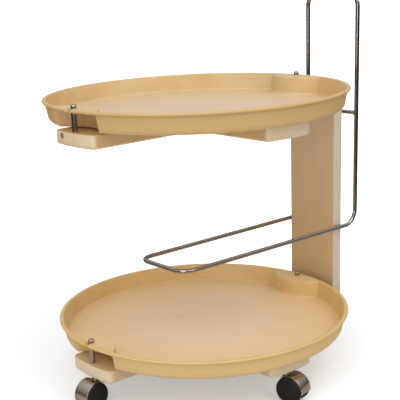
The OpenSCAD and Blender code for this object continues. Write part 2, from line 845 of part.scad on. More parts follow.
base_cross();
base_cover();
base_cover_screws();
top_cross();
top_cover();
top_cover_screws();
column();
column_back();
column_screws();
back_screws();
wire_frame();
bar_brackets();
bracket_screws();
rack_saddles();
saddle_screws();
lower_pins();
upper_pins();
hole_plug();
lower_tray();
upper_tray();
caster_sockets();
caster_stem(0);  // left_stem
caster_housing(0);  // left_housing
caster_axle(0);  // left_axle
caster_wheel(0, 1);  // left_wheel_near
caster_wheel(0, -1);  // left_wheel_far
caster_stem(1);  // right_stem
caster_housing(1);  // right_housing
caster_axle(1);  // right_axle
caster_wheel(1, 1);  // right_wheel_near
caster_wheel(1, -1);  // right_wheel_far
caster_stem(2);  // front_stem
caster_housing(2);  // front_housing
caster_axle(2);  // front_axle
caster_wheel(2, 1);  // front_wheel_near
caster_wheel(2, -1);  // front_wheel_far
caster_stem(3);  // rear_stem
caster_housing(3);  // rear_housing
caster_axle(3);  // rear_axle
caster_wheel(3, 1);  // rear_wheel_near
caster_wheel(3, -1);  // rear_wheel_far
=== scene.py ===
"""Dresses a two-level serving table: round trays, cross supports, column, wire rod, pins and casters.

All lengths are metres in the frame's own coordinates: +X runs from the trays to the column, +Z is up
and the floor is at Z = 0. Sizes that the frame holds are read from it, and finer ones are fields here.
"""

import json
import logging
import math
from dataclasses import dataclass, field
from enum import Enum
from functools import cached_property

import bmesh
import bpy
import numpy as np
from mathutils import Matrix, Vector


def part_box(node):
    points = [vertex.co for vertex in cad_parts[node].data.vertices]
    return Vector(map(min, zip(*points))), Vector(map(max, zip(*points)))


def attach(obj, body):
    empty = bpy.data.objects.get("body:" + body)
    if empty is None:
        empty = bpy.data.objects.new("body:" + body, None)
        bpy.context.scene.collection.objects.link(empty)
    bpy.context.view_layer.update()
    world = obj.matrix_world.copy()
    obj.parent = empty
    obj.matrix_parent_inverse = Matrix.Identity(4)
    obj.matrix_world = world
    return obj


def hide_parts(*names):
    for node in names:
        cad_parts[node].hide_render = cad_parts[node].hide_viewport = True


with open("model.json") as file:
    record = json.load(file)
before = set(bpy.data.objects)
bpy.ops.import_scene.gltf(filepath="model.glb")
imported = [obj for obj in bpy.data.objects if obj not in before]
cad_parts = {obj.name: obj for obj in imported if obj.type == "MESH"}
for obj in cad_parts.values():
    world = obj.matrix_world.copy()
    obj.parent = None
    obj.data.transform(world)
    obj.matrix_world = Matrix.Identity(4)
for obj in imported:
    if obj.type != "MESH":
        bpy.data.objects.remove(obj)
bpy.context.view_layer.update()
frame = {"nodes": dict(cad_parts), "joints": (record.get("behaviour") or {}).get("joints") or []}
LOG = logging.getLogger("serving_table")
MM = 0.001
TAU = 2 * math.pi
PRINCIPLED = "Principled BSDF"
MERGE = 2e-6
SLIVER = 1e-7
PEEL = 0.25 * MM

Point = tuple[float, float, float]
Colour = tuple[float, float, float]
Size = tuple[float, float]
Stretch = tuple[np.ndarray, np.ndarray]
Thing = bpy.types.Object
WHITE: Colour = (1.0, 1.0, 1.0)


# ------------------------------------------------------------------ numbers and curves

def arc(centre: tuple[float, float], radius: float, start: float, end: float, steps: int) -> np.ndarray:
    """Points of an arc: centre + radius * (cos a, sin a), where a runs evenly from start to end.

    Args:
        centre: Centre of the arc.
        radius: Its radius.
        start: First angle in degrees.
        end: Last angle in degrees.
        steps: Number of equal steps.

    Returns:
        An array of steps + 1 points.
    """
    angle = np.radians(np.linspace(start, end, steps + 1))
    return np.stack([centre[0] + radius * np.cos(angle), centre[1] + radius * np.sin(angle)], axis=1)


def smooth_min(a: np.ndarray, b: np.ndarray, width: float) -> np.ndarray:
    """The smaller value, rounded where they cross: their mean by the weight h, less width * h * (1 - h)."""
    h = np.clip(0.5 + 0.5 * (b - a) / width, 0.0, 1.0)
    return b + (a - b) * h - width * h * (1 - h)


def smooth_step(value: np.ndarray, low: float, high: float) -> np.ndarray:
    """Rises from 0 at low to 1 at high as t * t * (3 - 2 * t)."""
    t = np.clip((value - low) / (high - low), 0.0, 1.0)
    return t * t * (3 - 2 * t)


class Side(Enum):
    """A caster's two wheels, by the side of the swivel that they stand on."""

    NEAR = 1
    FAR = -1

    @property
    def label(self) -> str:
        """The side's word in the frame's names."""
        return self.name.lower()


@dataclass(frozen=True)
class Spot:
    """Where a turned or swept piece stands: an origin and three unit directions."""

    origin: Point
    across: Point = (1.0, 0.0, 0.0)
    beside: Point = (0.0, 1.0, 0.0)
    along: Point = (0.0, 0.0, 1.0)

    def place(self, points: np.ndarray) -> np.ndarray:
        """Turns local points into the frame: origin + x * across + y * beside + z * along."""
        basis = np.array([self.across, self.beside, self.along])
        return points @ basis + np.array(self.origin)


def around(section: np.ndarray, angle: np.ndarray) -> np.ndarray:
    """Turns a section of (r, z) about Z: rows of (r cos a, r sin a, z), one row for each angle.

    Args:
        section: Points of radius and height.
        angle: The rows' angles in radians.

    Returns:
        Rows of points.
    """
    radius = section[None, :, 0]
    height = np.repeat(section[None, :, 1], len(angle), 0)
    return np.stack([radius * np.cos(angle)[:, None], radius * np.sin(angle)[:, None], height], axis=-1)


def lifted(plan: np.ndarray, levels: np.ndarray) -> np.ndarray:
    """Repeats a plan of (x, y) at each level, as rows of points."""
    flat = np.repeat(plan[None], len(levels), axis=0)
    return np.concatenate([flat, np.repeat(levels[:, None, None], len(plan), 1)], axis=-1)


def rounded(edge: float, start: float, end: float, steps: int, level: float) -> np.ndarray:
    """A round edge as points of (inset, level): inset = edge - edge * cos a, level + edge * sin a."""
    bend = arc((0.0, level), edge, start, end, steps)
    return np.stack([edge - bend[:, 0], bend[:, 1]], axis=1)


def link(name: str, data: bpy.types.ID) -> Thing:
    """Makes an object of some data and puts it in the scene.

    Args:
        name: The object's name.
        data: Its mesh, lamp or camera.

    Returns:
        The new object.
    """
    thing = bpy.data.objects.new(name, data)
    bpy.context.scene.collection.objects.link(thing)
    return thing


# ------------------------------------------------------------------ meshes

@dataclass
class Skin:
    """Collects the surfaces of one piece and makes them one mesh."""

    name: str
    points: list[np.ndarray] = field(default_factory=list)
    faces: list[list[int]] = field(default_factory=list)
    count: int = 0

    def add(self, points: np.ndarray, faces: list[list[int]]) -> None:
        """Adds points and the faces that index them.

        Args:
            points: Any array of points.
            faces: Each face's corners, counted within these points.
        """
        self.points.append(np.asarray(points, float).reshape(-1, 3))
        self.faces.extend([[i + self.count for i in f] for f in faces])
        self.count += len(self.points[-1])

    def grid(self, points: np.ndarray, wrap_rows: bool = False, wrap_cols: bool = False,
             caps: bool = False) -> None:
        """Adds a two-parameter grid as quads.

        Args:
            points: Array of rows by columns by 3.
            wrap_rows: Joins the last row to the first.
            wrap_cols: Joins the last column to the first.
            caps: Closes the first row and the last with one face each.
        """
        rows, cols = points.shape[:2]
        index = np.arange(rows * cols).reshape(rows, cols)
        if wrap_rows:
            index = np.vstack([index, index[:1]])
        if wrap_cols:
            index = np.hstack([index, index[:, :1]])
        quads = np.stack([index[:-1, :-1], index[:-1, 1:], index[1:, 1:], index[1:, :-1]], axis=-1)
        faces = quads.reshape(-1, 4).tolist()
        if caps:
            faces += [index[0, :cols][::-1].tolist(), index[rows - 1, :cols].tolist()]
        self.add(points, faces)

    def tube(self, rows: np.ndarray, closed: bool = False) -> None:
        """Adds rows that each go round; the ends get a face each, or meet if the tube is closed."""
        self.grid(rows, wrap_rows=closed, wrap_cols=True, caps=not closed)

    def polar(self, radius: np.ndarray, height: np.ndarray, angle: np.ndarray, centre: tuple[float, float],
              low: float, high: float) -> None:
        """Adds a surface whose rows go round a centre: x = r cos a, y = r sin a, with a pole at each end.

        Args:
            radius: Rows by columns.
            height: Rows by columns.
            angle: The columns' angles.
            centre: X and Y of the centre.
            low: Height of the pole before the first row.
            high: Height of the pole after the last row.
        """
        rows, cols = radius.shape
        ring = np.stack([centre[0] + radius * np.cos(angle), centre[1] + radius * np.sin(angle), height],
                        axis=-1)
        start = self.count
        self.grid(ring, wrap_cols=True)
        poles = np.array([[centre[0], centre[1], low], [centre[0], centre[1], high]])
        a = np.arange(cols)
        b = (a + 1) % cols
        last = (rows - 1) * cols
        first_fan = np.stack([np.full(cols, rows * cols), b, a], axis=1)
        last_fan = np.stack([np.full(cols, rows * cols + 1), last + a, last + b], axis=1)
        self.points.append(poles)
        self.faces.extend((np.vstack([first_fan, last_fan]) + start).tolist())
        self.count += 2

    def turned(self, profile: np.ndarray, spot: Spot, steps: int = 64, closed: bool = False) -> None:
        """Adds a turned form: each profile point (r, z) goes round the spot's along direction.

        Args:
            profile: Points of radius and height. An end at radius 0 closes the form.
            spot: Where the form stands.
            steps: Columns round the axis.
            closed: Joins the profile's last point to its first.
        """
        angle = np.arange(steps) * TAU / steps
        r = np.maximum(profile[:, 0:1], SLIVER)
        ring = np.stack([r * np.cos(angle), r * np.sin(angle), np.repeat(profile[:, 1:2], steps, 1)], axis=-1)
        self.tube(spot.place(ring), closed)

    def swept(self, section: np.ndarray, path: np.ndarray, closed: bool = False) -> None:
        """Adds a profile carried along a path, turned with it and never twisted.

        Each station's frame is the one before it turned by the least angle onto the new direction, and a
        closed path's leftover twist is spread evenly over its stations.

        Args:
            section: Points of the profile across the path.
            path: Stations along the path.
            closed: Joins the path's end to its start.
        """
        ahead = np.roll(path, -1, 0) - path
        back = path - np.roll(path, 1, 0)
        if not closed:
            ahead[-1], back[0] = back[-1], ahead[0]
        way = ahead / np.linalg.norm(ahead, axis=1)[:, None] + back / np.linalg.norm(back, axis=1)[:, None]
        way /= np.linalg.norm(way, axis=1)[:, None]
        side = np.zeros_like(path)
        start = np.cross(way[0], np.eye(3)[np.argmin(np.abs(way[0]))])
        side[0] = start / np.linalg.norm(start)
        for i in range(1, len(path)):
            flat = side[i - 1] - way[i] * np.dot(side[i - 1], way[i])
            side[i] = flat / np.linalg.norm(flat)
        up = np.cross(way, side)
        rings = (path[:, None, :] + section[None, :, 0:1] * side[:, None, :]
                 + section[None, :, 1:2] * up[:, None, :])
        self.tube(rings, closed)

    def make(self, sharp: float = 40.0) -> Thing:
        """Makes the object: merged, closed, facing outwards and smooth.

        Args:
            sharp: Angle in degrees above which an edge stays sharp.

        Returns:
            The new object.
        """
        mesh = bpy.data.meshes.new(self.name)
        mesh.from_pydata(np.vstack(self.points).tolist(), [], self.faces)
        clean = bmesh.new()
        clean.from_mesh(mesh)
        bmesh.ops.remove_doubles(clean, verts=clean.verts, dist=MERGE)
        bmesh.ops.dissolve_degenerate(clean, edges=clean.edges, dist=SLIVER)
        bmesh.ops.recalc_face_normals(clean, faces=clean.faces)
        clean.to_mesh(mesh)
        clean.free()
        thing = link(self.name, mesh)
        shade(thing, sharp)
        return thing


def shade(thing: Thing, sharp: float) -> None:
    """Shades an object smooth, except over edges sharper than the angle in degrees.

    Args:
        thing: The object.
        sharp: The angle.
    """
    mesh = thing.data
    mesh.polygons.foreach_set("use_smooth", np.ones(len(mesh.polygons), bool))
    mesh.set_sharp_from_angle(angle=math.radians(sharp))
    mesh.update()


def cut(thing: Thing, tools: list[Thing], sharp: float = 40.0) -> None:
    """Cuts tools out of a piece for good and removes them.

    Args:
        thing: The piece.
        tools: Closed meshes that are taken away from it.
        sharp: Angle in degrees above which an edge stays sharp.
    """
    for tool in tools:
        step = thing.modifiers.new("cut", "BOOLEAN")
        step.operation = "DIFFERENCE"
        step.solver = "EXACT"
        step.object = tool
    bpy.context.view_layer.update()
    solved = bpy.data.meshes.new_from_object(thing.evaluated_get(bpy.context.evaluated_depsgraph_get()))
    thing.modifiers.clear()
    thing.data = solved
    for tool in tools:
        bpy.data.objects.remove(tool)
    shade(thing, sharp)


def coat(thing: Thing, finish: "Finish") -> None:
    """Gives an object one material."""
    thing.data.materials.clear()
    thing.data.materials.append(finish.material())


def hand_over(thing: Thing, finish: "Finish", body: str, *nodes: str) -> Thing:
    """Dresses a finished piece, lets it ride on its body and stand for CAD nodes.

    Args:
        thing: The piece.
        finish: What it is made of.
        body: The CAD body that it moves with.
        nodes: The CAD nodes that it stands for.

    Returns:
        The piece.
    """
    coat(thing, finish)
    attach(thing, body)
    if nodes:
        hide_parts(*nodes)
    return thing


def dress(node: str, finish: "Finish") -> None:
    """Gives a CAD node that is shown as it is a finish."""
    coat(frame["nodes"][node], finish)


def round_section(radius: float, steps: int = 32) -> np.ndarray:
    """Points of a circle about the origin: radius * (cos a, sin a)."""
    angle = np.arange(steps) * TAU / steps
    return radius * np.stack([np.cos(angle), np.sin(angle)], axis=1)


# ------------------------------------------------------------------ shaders

@dataclass
class Wire:
    """A shader socket that takes part in Python expressions; each operator adds one Math node."""

    graph: "Graph"
    socket: bpy.types.NodeSocket

    def _with(self, operation: str, a: "Wire | float", b: "Wire | float") -> "Wire":
        """Adds a Math node on two values."""
        return self.graph.math(operation, a, b)

    def __add__(self, other: "Wire | float") -> "Wire":
        """Sum."""
        return self._with("ADD", self, other)

    def __radd__(self, other: "Wire | float") -> "Wire":
        """Sum with the number first."""
        return self._with("ADD", other, self)

    def __sub__(self, other: "Wire | float") -> "Wire":
        """Difference."""
        return self._with("SUBTRACT", self, other)

    def __rsub__(self, other: "Wire | float") -> "Wire":
        """Difference with the number first."""
        return self._with("SUBTRACT", other, self)

    def __mul__(self, other: "Wire | float") -> "Wire":
        """Product."""
        return self._with("MULTIPLY", self, other)

    def __rmul__(self, other: "Wire | float") -> "Wire":
        """Product with the number first."""
        return self._with("MULTIPLY", other, self)

    def __truediv__(self, other: "Wire | float") -> "Wire":
        """Quotient."""
        return self._with("DIVIDE", self, other)

    def __rtruediv__(self, other: "Wire | float") -> "Wire":
        """Quotient with the number first."""
        return self._with("DIVIDE", other, self)

    def __pow__(self, other: "Wire | float") -> "Wire":
        """Power."""
        return self._with("POWER", self, other)

    def __rpow__(self, other: "Wire | float") -> "Wire":
        """Power with the number first."""
        return self._with("POWER", other, self)

    def between(self, low: "Wire | float", high: "Wire | float") -> "Wire":
        """Runs straight from low to high as this value runs from 0 to 1, and stays there beyond."""
        return self.graph.node(
            "ShaderNodeMapRange", {}, {"Value": self, "To Min": low, "To Max": high}, "Result")

    def rise(self, low: float, high: float) -> "Wire":
        """A mask from 0 at low to 1 at high; low may be above high.

        Args:
            low: Value where the mask is 0.
            high: Value where it is 1.

        Returns:
            The mask.
        """
        return self.graph.node(
            "ShaderNodeMapRange", {"clamp": True, "interpolation_type": "SMOOTHSTEP"},
            {"Value": self, "From Min": low, "From Max": high, "To Min": 0.0, "To Max": 1.0}, "Result")


def linear(red: int, green: int, blue: int) -> Colour:
    """Linear light of a colour written in display values from 0 to 255."""
    parts = np.array([red, green, blue]) / 255
    return tuple(np.where(parts <= 0.04045, parts / 12.92, ((parts + 0.055) / 1.055) ** 2.4).tolist())


class Graph:
    """The node tree of a material or of the world, with its one surface node."""

    def __init__(self, owner: bpy.types.Material | bpy.types.World, surface: str) -> None:
        """Opens the owner's nodes.

        Args:
            owner: The material or the world.
            surface: The name of its surface node.
        """
        owner.use_nodes = True
        self.tree = owner.node_tree
        self.surface = self.tree.nodes[surface]

    @cached_property
    def place(self) -> Wire:
        """The object coordinates."""
        return self.node("ShaderNodeTexCoord", {}, {}, "Object")

    def ray(self, kind: str) -> Wire:
        """1 to rays of a kind, such as Camera or Glossy, and 0 to others."""
        return self.node("ShaderNodeLightPath", {}, {}, f"Is {kind} Ray")

    def node(self, kind: str, settings: dict, inputs: dict, output: str | int = 0) -> Wire:
        """Adds any node.

        Args:
            kind: The node's type.
            settings: Its own properties, set before its sockets.
            inputs: Values or wires by socket name or number.
            output: The output to hand back.

        Returns:
            The output as a wire.
        """
        made = self.tree.nodes.new(kind)
        for key, value in settings.items():
            setattr(made, key, value)
        for key, value in inputs.items():
            self.feed(made.inputs[key], value)
        return Wire(self, made.outputs[output])

    def feed(self, socket: bpy.types.NodeSocket, value: "Wire | float | Colour") -> None:
        """Links a wire to a socket, or sets the socket's own value.

        Args:
            socket: The socket to fill.
            value: A wire, number or colour.
        """
        if isinstance(value, Wire):
            self.tree.links.new(value.socket, socket)
        elif isinstance(value, tuple) and socket.type == "RGBA":
            socket.default_value = (*value, 1.0)
        else:
            socket.default_value = value

    def math(self, operation: str, a: "Wire | float", b: "Wire | float" = 0.0) -> Wire:
        """Adds a Math node."""
        return self.node("ShaderNodeMath", {"operation": operation}, {0: a, 1: b})

    def mix(self, factor: "Wire | float", a: "Wire | Colour", b: "Wire | Colour") -> Wire:
        """Mixes two colours; the factor is the second one's share."""
        return self.node("ShaderNodeMix", {"data_type": "RGBA"}, {"Factor": factor, 6: a, 7: b}, 2)

    def moved(self, offset: Point, scale: Point = (1, 1, 1), turn: float = 0.0) -> Wire:
        """The object coordinates moved, scaled and turned about Z in degrees.

        Args:
            offset: Added to the place.
            scale: Factor along each axis.
            turn: Turn about Z in degrees.

        Returns:
            The new coordinates.
        """
        return self.node("ShaderNodeMapping", {}, {
            "Vector": self.place, "Location": offset, "Rotation": (0.0, 0.0, math.radians(turn)),
            "Scale": scale}, "Vector")

    def noise(self, scale: float, detail: float = 3.0, rough: float = 0.5, at: "Wire | None" = None) -> Wire:
        """Cloudy values from about 0.3 to 0.7, with the given number of clouds in a metre."""
        return self.node("ShaderNodeTexNoise", {}, {
            "Vector": at or self.place, "Scale": scale, "Detail": detail, "Roughness": rough}, "Fac")

    def cells(self, scale: float, at: "Wire | None" = None) -> Wire:
        """Distance to the nearest of many scattered points."""
        return self.node("ShaderNodeTexVoronoi", {}, {"Vector": at or self.place, "Scale": scale}, "Distance")

    def split(self, way: Wire) -> tuple[Wire, Wire, Wire]:
        """X, Y and Z of a vector."""
        made = self.node("ShaderNodeSeparateXYZ", {}, {0: way}).socket.node
        return tuple(Wire(self, made.outputs[i]) for i in range(3))

    def parts(self, centre: Point = (0.0, 0.0, 0.0)) -> tuple[Wire, Wire, Wire]:
        """X, Y and Z of the object coordinates, counted from a centre."""
        return self.split(self.moved(tuple(-c for c in centre)))

    def facing(self) -> tuple[Wire, Wire, Wire]:
        """X, Y and Z of the surface's own direction."""
        return self.split(self.node("ShaderNodeTexCoord", {}, {}, "Normal"))

    def bump(self, height: Wire, strength: float, distance: float) -> None:
        """Lets a height disturb the surface's normal.

        Args:
            height: The height pattern.
            strength: From 0 to 1.
            distance: Real height in metres.
        """
        normal = self.node(
            "ShaderNodeBump", {}, {"Height": height, "Strength": strength, "Distance": distance}, "Normal")
        self.feed(self.surface.inputs["Normal"], normal)

    def set(self, **values: "Wire | float | Colour") -> None:
        """Sets the surface's sockets; a name's underscores stand for spaces."""
        for key, value in values.items():
            self.feed(self.surface.inputs[key.replace("_", " ")], value)


@dataclass(frozen=True)
class Finish:
    """What a piece is made of: a record slot and a material made once."""

    slot: str
    name: str

    def material(self) -> bpy.types.Material:
        """The material, made when it is first asked for.

        Returns:
            The material.
        """
        found = bpy.data.materials.get(self.name)
        if found:
            return found
        made = bpy.data.materials.new(self.name)
        self.paint(Graph(made, PRINCIPLED))
        return made

    def paint(self, graph: Graph) -> None:
        """Builds the surface; each finish has its own."""
        raise NotImplementedError


@dataclass(frozen=True)
class TrayPlastic(Finish):
    """Satin mustard plastic, rubbed pale on the rim with a painted highlight there, dull and lightly
    scratched on the floor; the outward walls carry painted shade, the floor and shelf a painted sheen and the
    band under the lip a painted shadow.
    """

    axis_x: float = 0.0
    rim_z: float = 0.0
    rim_r: float = 0.26
    depth: float = 0.0345
    body: Colour = linear(213, 184, 134)
    deep: Colour = linear(206, 171, 113)
    # outside: darker tone of the outward walls, painted shade
    outside: Colour = linear(193, 157, 97)
    # pale: paler tone of scratches, and of the rim band, which is also a painted highlight
    pale: Colour = linear(220, 190, 142)
    # floor: the floor's pale tone, a painted sheen; floor_edge: the floor near the walls, with less of it
    floor: Colour = linear(217, 192, 163)
    floor_edge: Colour = linear(211, 181, 140)
    dirt: Colour = linear(150, 114, 72)
    mark: tuple[float, float] = (9.0, 9.0)

    def paint(self, graph: Graph) -> None:
        """Mixes floor, wall and rim colours by place and facing, with clouds, scuffs and faint stains, and
        with painted shade, sheen, highlight and shadow.

        Args:
            graph: The material's nodes.
        """
        x, y, z = graph.parts((self.axis_x, 0.0, self.rim_z))
        radius = graph.math("SQRT", x * x + y * y)
        clouds = graph.noise(9.0, 4.0, 0.6)
        fine = graph.noise(70.0, 3.0, 0.6)
        across, beside, up = graph.facing()
        flat = up.rise(0.55, 0.95)
        low = z.rise(-0.6 * self.depth, -0.86 * self.depth)
        wall = graph.mix(clouds.rise(0.35, 0.68), self.body, self.deep)
        outward = (across * x + beside * y) / radius
        # Outward-facing walls are painted darker: painted shade.
        wall = graph.mix(outward.rise(0.1, 0.6) * 0.85, wall, self.outside)
        # The floor is painted paler than the walls, most in its middle: painted sheen.
        middle = (radius * (1 / self.rim_r) + (clouds - 0.5) * 0.5).rise(0.95, 0.25)
        floor = graph.mix(middle, self.floor_edge, self.floor)
        tone = graph.mix(flat * low, wall, floor)
        # The flat shelf takes some of the floor's pale tone: painted sheen.
        shelf_sheen = flat * radius.rise(self.rim_r - 9 * MM, self.rim_r - 13 * MM) * z.rise(-4 * MM, -1 * MM)
        tone = graph.mix(shelf_sheen * 0.3, tone, self.floor)
        # A pale band along the rim's top in fine noise: rubbing, and a painted highlight.
        tone = graph.mix(z.rise(-2.5 * MM, -0.4 * MM) * fine.rise(0.38, 0.62) * 0.08, tone, self.pale)
        # A darker band under the lip on the outward walls, in the dirt colour: painted shadow.
        lip_shadow = z.rise(-8.5 * MM, -4.7 * MM) * z.rise(-3.4 * MM, -4.4 * MM) * outward.rise(0.1, 0.6)
        tone = graph.mix(lip_shadow * 0.3, tone, self.dirt)
        stain = graph.noise(22.0, 5.0, 0.7, graph.moved((3.1, 1.7, 0.4)))
        tone = graph.mix(stain.rise(0.6, 0.74) * flat * low * 0.18, tone, self.dirt)
        crease = radius.rise(self.rim_r - 22 * MM, self.rim_r - 12 * MM) * low
        tone = graph.mix(crease * fine.rise(0.35, 0.7) * 0.12, tone, self.dirt)
        specks = graph.cells(60.0).rise(0.075, 0.045) * graph.noise(14.0, 2.0).rise(0.56, 0.64)
        tone = graph.mix(specks * flat * low * 0.45, tone, self.dirt)
        from_mark = graph.math("SQRT", (x - self.mark[0]) ** 2.0 + (y - self.mark[1]) ** 2.0)
        tone = graph.mix(from_mark.rise(2.2 * MM, 1.2 * MM) * 0.7, tone, self.dirt)
        streaks = graph.noise(26.0, 4.0, 0.65, graph.moved((0, 0, 0), (22.0, 1.2, 1.0), 24.0))
        more = graph.noise(24.0, 4.0, 0.65, graph.moved((0.3, 0.2, 0), (1.4, 26.0, 1.0), -37.0))
        scratch = graph.math("MAXIMUM", streaks.rise(0.64, 0.72), more.rise(0.65, 0.73))
        tone = graph.mix(scratch * flat * low * 0.16, tone, self.pale)
        peel = graph.noise(900.0, 2.0, 0.5)
        graph.set(Base_Color=tone, Roughness=0.40 + 0.16 * clouds + scratch * 0.12, Specular_IOR_Level=0.5)
        graph.bump(peel + scratch * -0.6 + fine * 0.5, 0.22, PEEL)


@dataclass(frozen=True)
class CreamPlastic(Finish):
    """Satin off-white plastic with faint clouds, grime low down, small marks and painted shade on the sides
    and tops that a tray covers.
    """

    body: Colour = linear(213, 193, 162)
    tinted: Colour = linear(205, 181, 145)
    grime: Colour = linear(150, 120, 84)
    # flank and top: tan tones of the sides and tops under a tray, painted shade
    flank_shade: Colour = linear(189, 157, 103)
    top: Colour = linear(206, 168, 116)
    shaded: float = 0.0
    axis_x: float = 0.0
    low_z: float = 0.0
    high_z: float = 0.03

    def paint(self, graph: Graph) -> None:
        """Clouds of two creams, painted shade in tan on the sides and tops that a tray covers, and grime that
        gathers towards the lower edge.

        Args:
            graph: The material's nodes.
        """
        x, y, z = graph.parts((self.axis_x, 0.0, self.low_z))
        clouds = graph.noise(11.0, 4.0, 0.6)
        fine = graph.noise(85.0, 4.0, 0.62)
        tone = graph.mix(clouds.rise(0.34, 0.7), self.body, self.tinted)
        across, beside, up = graph.facing()
        outward = (across * x + beside * y) / graph.math("SQRT", x * x + y * y)
        # Sides and tops under a tray are painted tan: painted shade.
        tone = graph.mix(outward.rise(0.8, 0.45) * up.rise(-0.6, -0.2) * self.shaded, tone, self.flank_shade)
        tone = graph.mix(up.rise(0.6, 0.95) * self.shaded, tone, self.top)
        low = z.rise(0.7 * (self.high_z - self.low_z), 0.0)
        tone = graph.mix(low * fine.rise(0.4, 0.72) * 0.3, tone, self.grime)
        marks = graph.cells(42.0).rise(0.06, 0.03) * graph.noise(17.0, 2.0).rise(0.55, 0.63)
        tone = graph.mix(marks * 0.5, tone, self.grime)
        peel = graph.noise(800.0, 2.0, 0.5)
        graph.set(Base_Color=tone, Roughness=0.42 + 0.14 * clouds, Specular_IOR_Level=0.45)
        graph.bump(peel + fine * 0.4, 0.2, PEEL)


@dataclass(frozen=True)
class ColumnPlastic(Finish):
    """Cream column whose broad inner face is a deeper tan than its sides, partly its own tone and partly
    painted shade, and warmer low down with painted shade and bounce light from the lower tray.
    """

    side: Colour = linear(196, 184, 168)
    # front and front_deep: the broad face's tan, partly the plastic's own tone and partly painted shade
    front: Colour = linear(208, 180, 142)
    front_deep: Colour = linear(200, 170, 128)
    # warm: painted shade and bounce light from the lower tray, low on the broad face
    warm: Colour = linear(206, 171, 118)
    grime: Colour = linear(150, 116, 76)

    def paint(self, graph: Graph) -> None:
        """Tells the faces apart by their direction and clouds each of them; the broad face's tan is partly
        painted shade.

        Args:
            graph: The material's nodes.
        """
        across, _, _ = graph.facing()
        _, y, z = graph.parts()
        clouds = graph.noise(8.0, 4.0, 0.6, graph.moved((0, 0, 0), (1.0, 1.0, 0.45)))
        fine = graph.noise(75.0, 4.0, 0.6)
        panel = graph.mix(clouds.rise(0.35, 0.68), self.front, self.front_deep)
        # Low on the broad face the tone turns warmer: painted shade and bounce light from the lower tray.
        panel = graph.mix(z.rise(0.3, 0.12) * 0.5, panel, self.warm)
        panel = graph.mix(y.rise(0.0515, 0.054) * 0.5, panel, self.grime)
        panel = graph.mix(fine.rise(0.6, 0.75) * 0.18, panel, self.grime)
        sides = graph.mix(clouds.rise(0.35, 0.7) * 0.5, self.side, self.front)
        # The broad face gets the tan tones: partly its own tone, partly painted shade.
        tone = graph.mix(across.rise(-0.45, -0.8), sides, panel)
        tone = graph.mix(z.rise(0.13, 0.05) * fine.rise(0.4, 0.7) * 0.25, tone, self.grime)
        peel = graph.noise(700.0, 2.0, 0.5)
        graph.set(Base_Color=tone, Roughness=0.40 + 0.15 * clouds, Specular_IOR_Level=0.45)
        graph.bump(peel + fine * 0.4, 0.18, PEEL)


@dataclass(frozen=True)
class Chrome(Finish):
    """Bright plated steel with a warm cast, fine drawing marks and small dull spots."""

    tone: Colour = linear(176, 168, 162)
    dull: Colour = linear(104, 94, 88)
    rough: float = 0.12
    spots: float = 0.2

    def paint(self, graph: Graph) -> None:
        """Metal whose roughness and tone vary in clouds, with pits where the plating has gone dull.

        Args:
            graph: The material's nodes.
        """
        clouds = graph.noise(45.0, 4.0, 0.6)
        pits = graph.cells(260.0).rise(0.2, 0.1) * graph.noise(60.0, 3.0).rise(0.55, 0.66)
        tone = graph.mix(clouds.rise(0.35, 0.75) * 0.22 + pits * self.spots, self.tone, self.dull)
        lines = graph.noise(420.0, 3.0, 0.6, graph.moved((0, 0, 0), (1.0, 1.0, 0.08)))
        graph.set(Base_Color=tone, Metallic=1.0, Roughness=self.rough + 0.12 * clouds + pits * 0.3)
        graph.bump(lines + pits * -0.8, 0.12, 0.08 * MM)


@dataclass(frozen=True)
class ZincSteel(Finish):
    """Plain zinc-plated steel of screws and stems."""

    tone: Colour = linear(170, 168, 162)
    dull: Colour = linear(118, 112, 104)

    def paint(self, graph: Graph) -> None:
        """Brushed metal with clouds of dulled plating.

        Args:
            graph: The material's nodes.
        """
        clouds = graph.noise(120.0, 4.0, 0.65)
        tone = graph.mix(clouds.rise(0.38, 0.7), self.tone, self.dull)
        graph.set(Base_Color=tone, Metallic=1.0, Roughness=0.32 + 0.2 * clouds)
        graph.bump(graph.noise(900.0, 2.0), 0.15, 0.1 * MM)


@dataclass(frozen=True)
class DarkPlastic(Finish):
    """Dark moulded plastic, greyed by dust, for wheels and brackets."""

    body: Colour = linear(22, 23, 25)
    dust: Colour = linear(84, 80, 74)
    rough: float = 0.30
    dusty: float = 0.14

    def paint(self, graph: Graph) -> None:
        """Near-black plastic with dust in clouds and fine scuffs.

        Args:
            graph: The material's nodes.
        """
        clouds = graph.noise(60.0, 5.0, 0.65)
        scuff = graph.noise(240.0, 4.0, 0.7).rise(0.58, 0.72)
        tone = graph.mix(clouds.rise(0.48, 0.75) * self.dusty + scuff * 0.12, self.body, self.dust)
        graph.set(Base_Color=tone, Roughness=self.rough + 0.2 * clouds, Specular_IOR_Level=0.3)
        graph.bump(graph.noise(700.0, 3.0) + scuff * 0.4, 0.2, 0.15 * MM)


@dataclass(frozen=True)
class PlugPlastic(Finish):
    """Brown plug in clouds of a darker and a paler brown."""

    body: Colour = linear(126, 88, 56)
    worn: Colour = linear(158, 120, 84)

    def paint(self, graph: Graph) -> None:
        """Clouds of two browns.

        Args:
            graph: The material's nodes.
        """
        clouds = graph.noise(300.0, 4.0, 0.6)
        graph.set(Base_Color=graph.mix(clouds.rise(0.38, 0.68), self.body, self.worn),
                  Roughness=0.45 + 0.2 * clouds)
        graph.bump(graph.noise(1500.0, 2.0), 0.2, 0.1 * MM)


# ------------------------------------------------------------------ trays

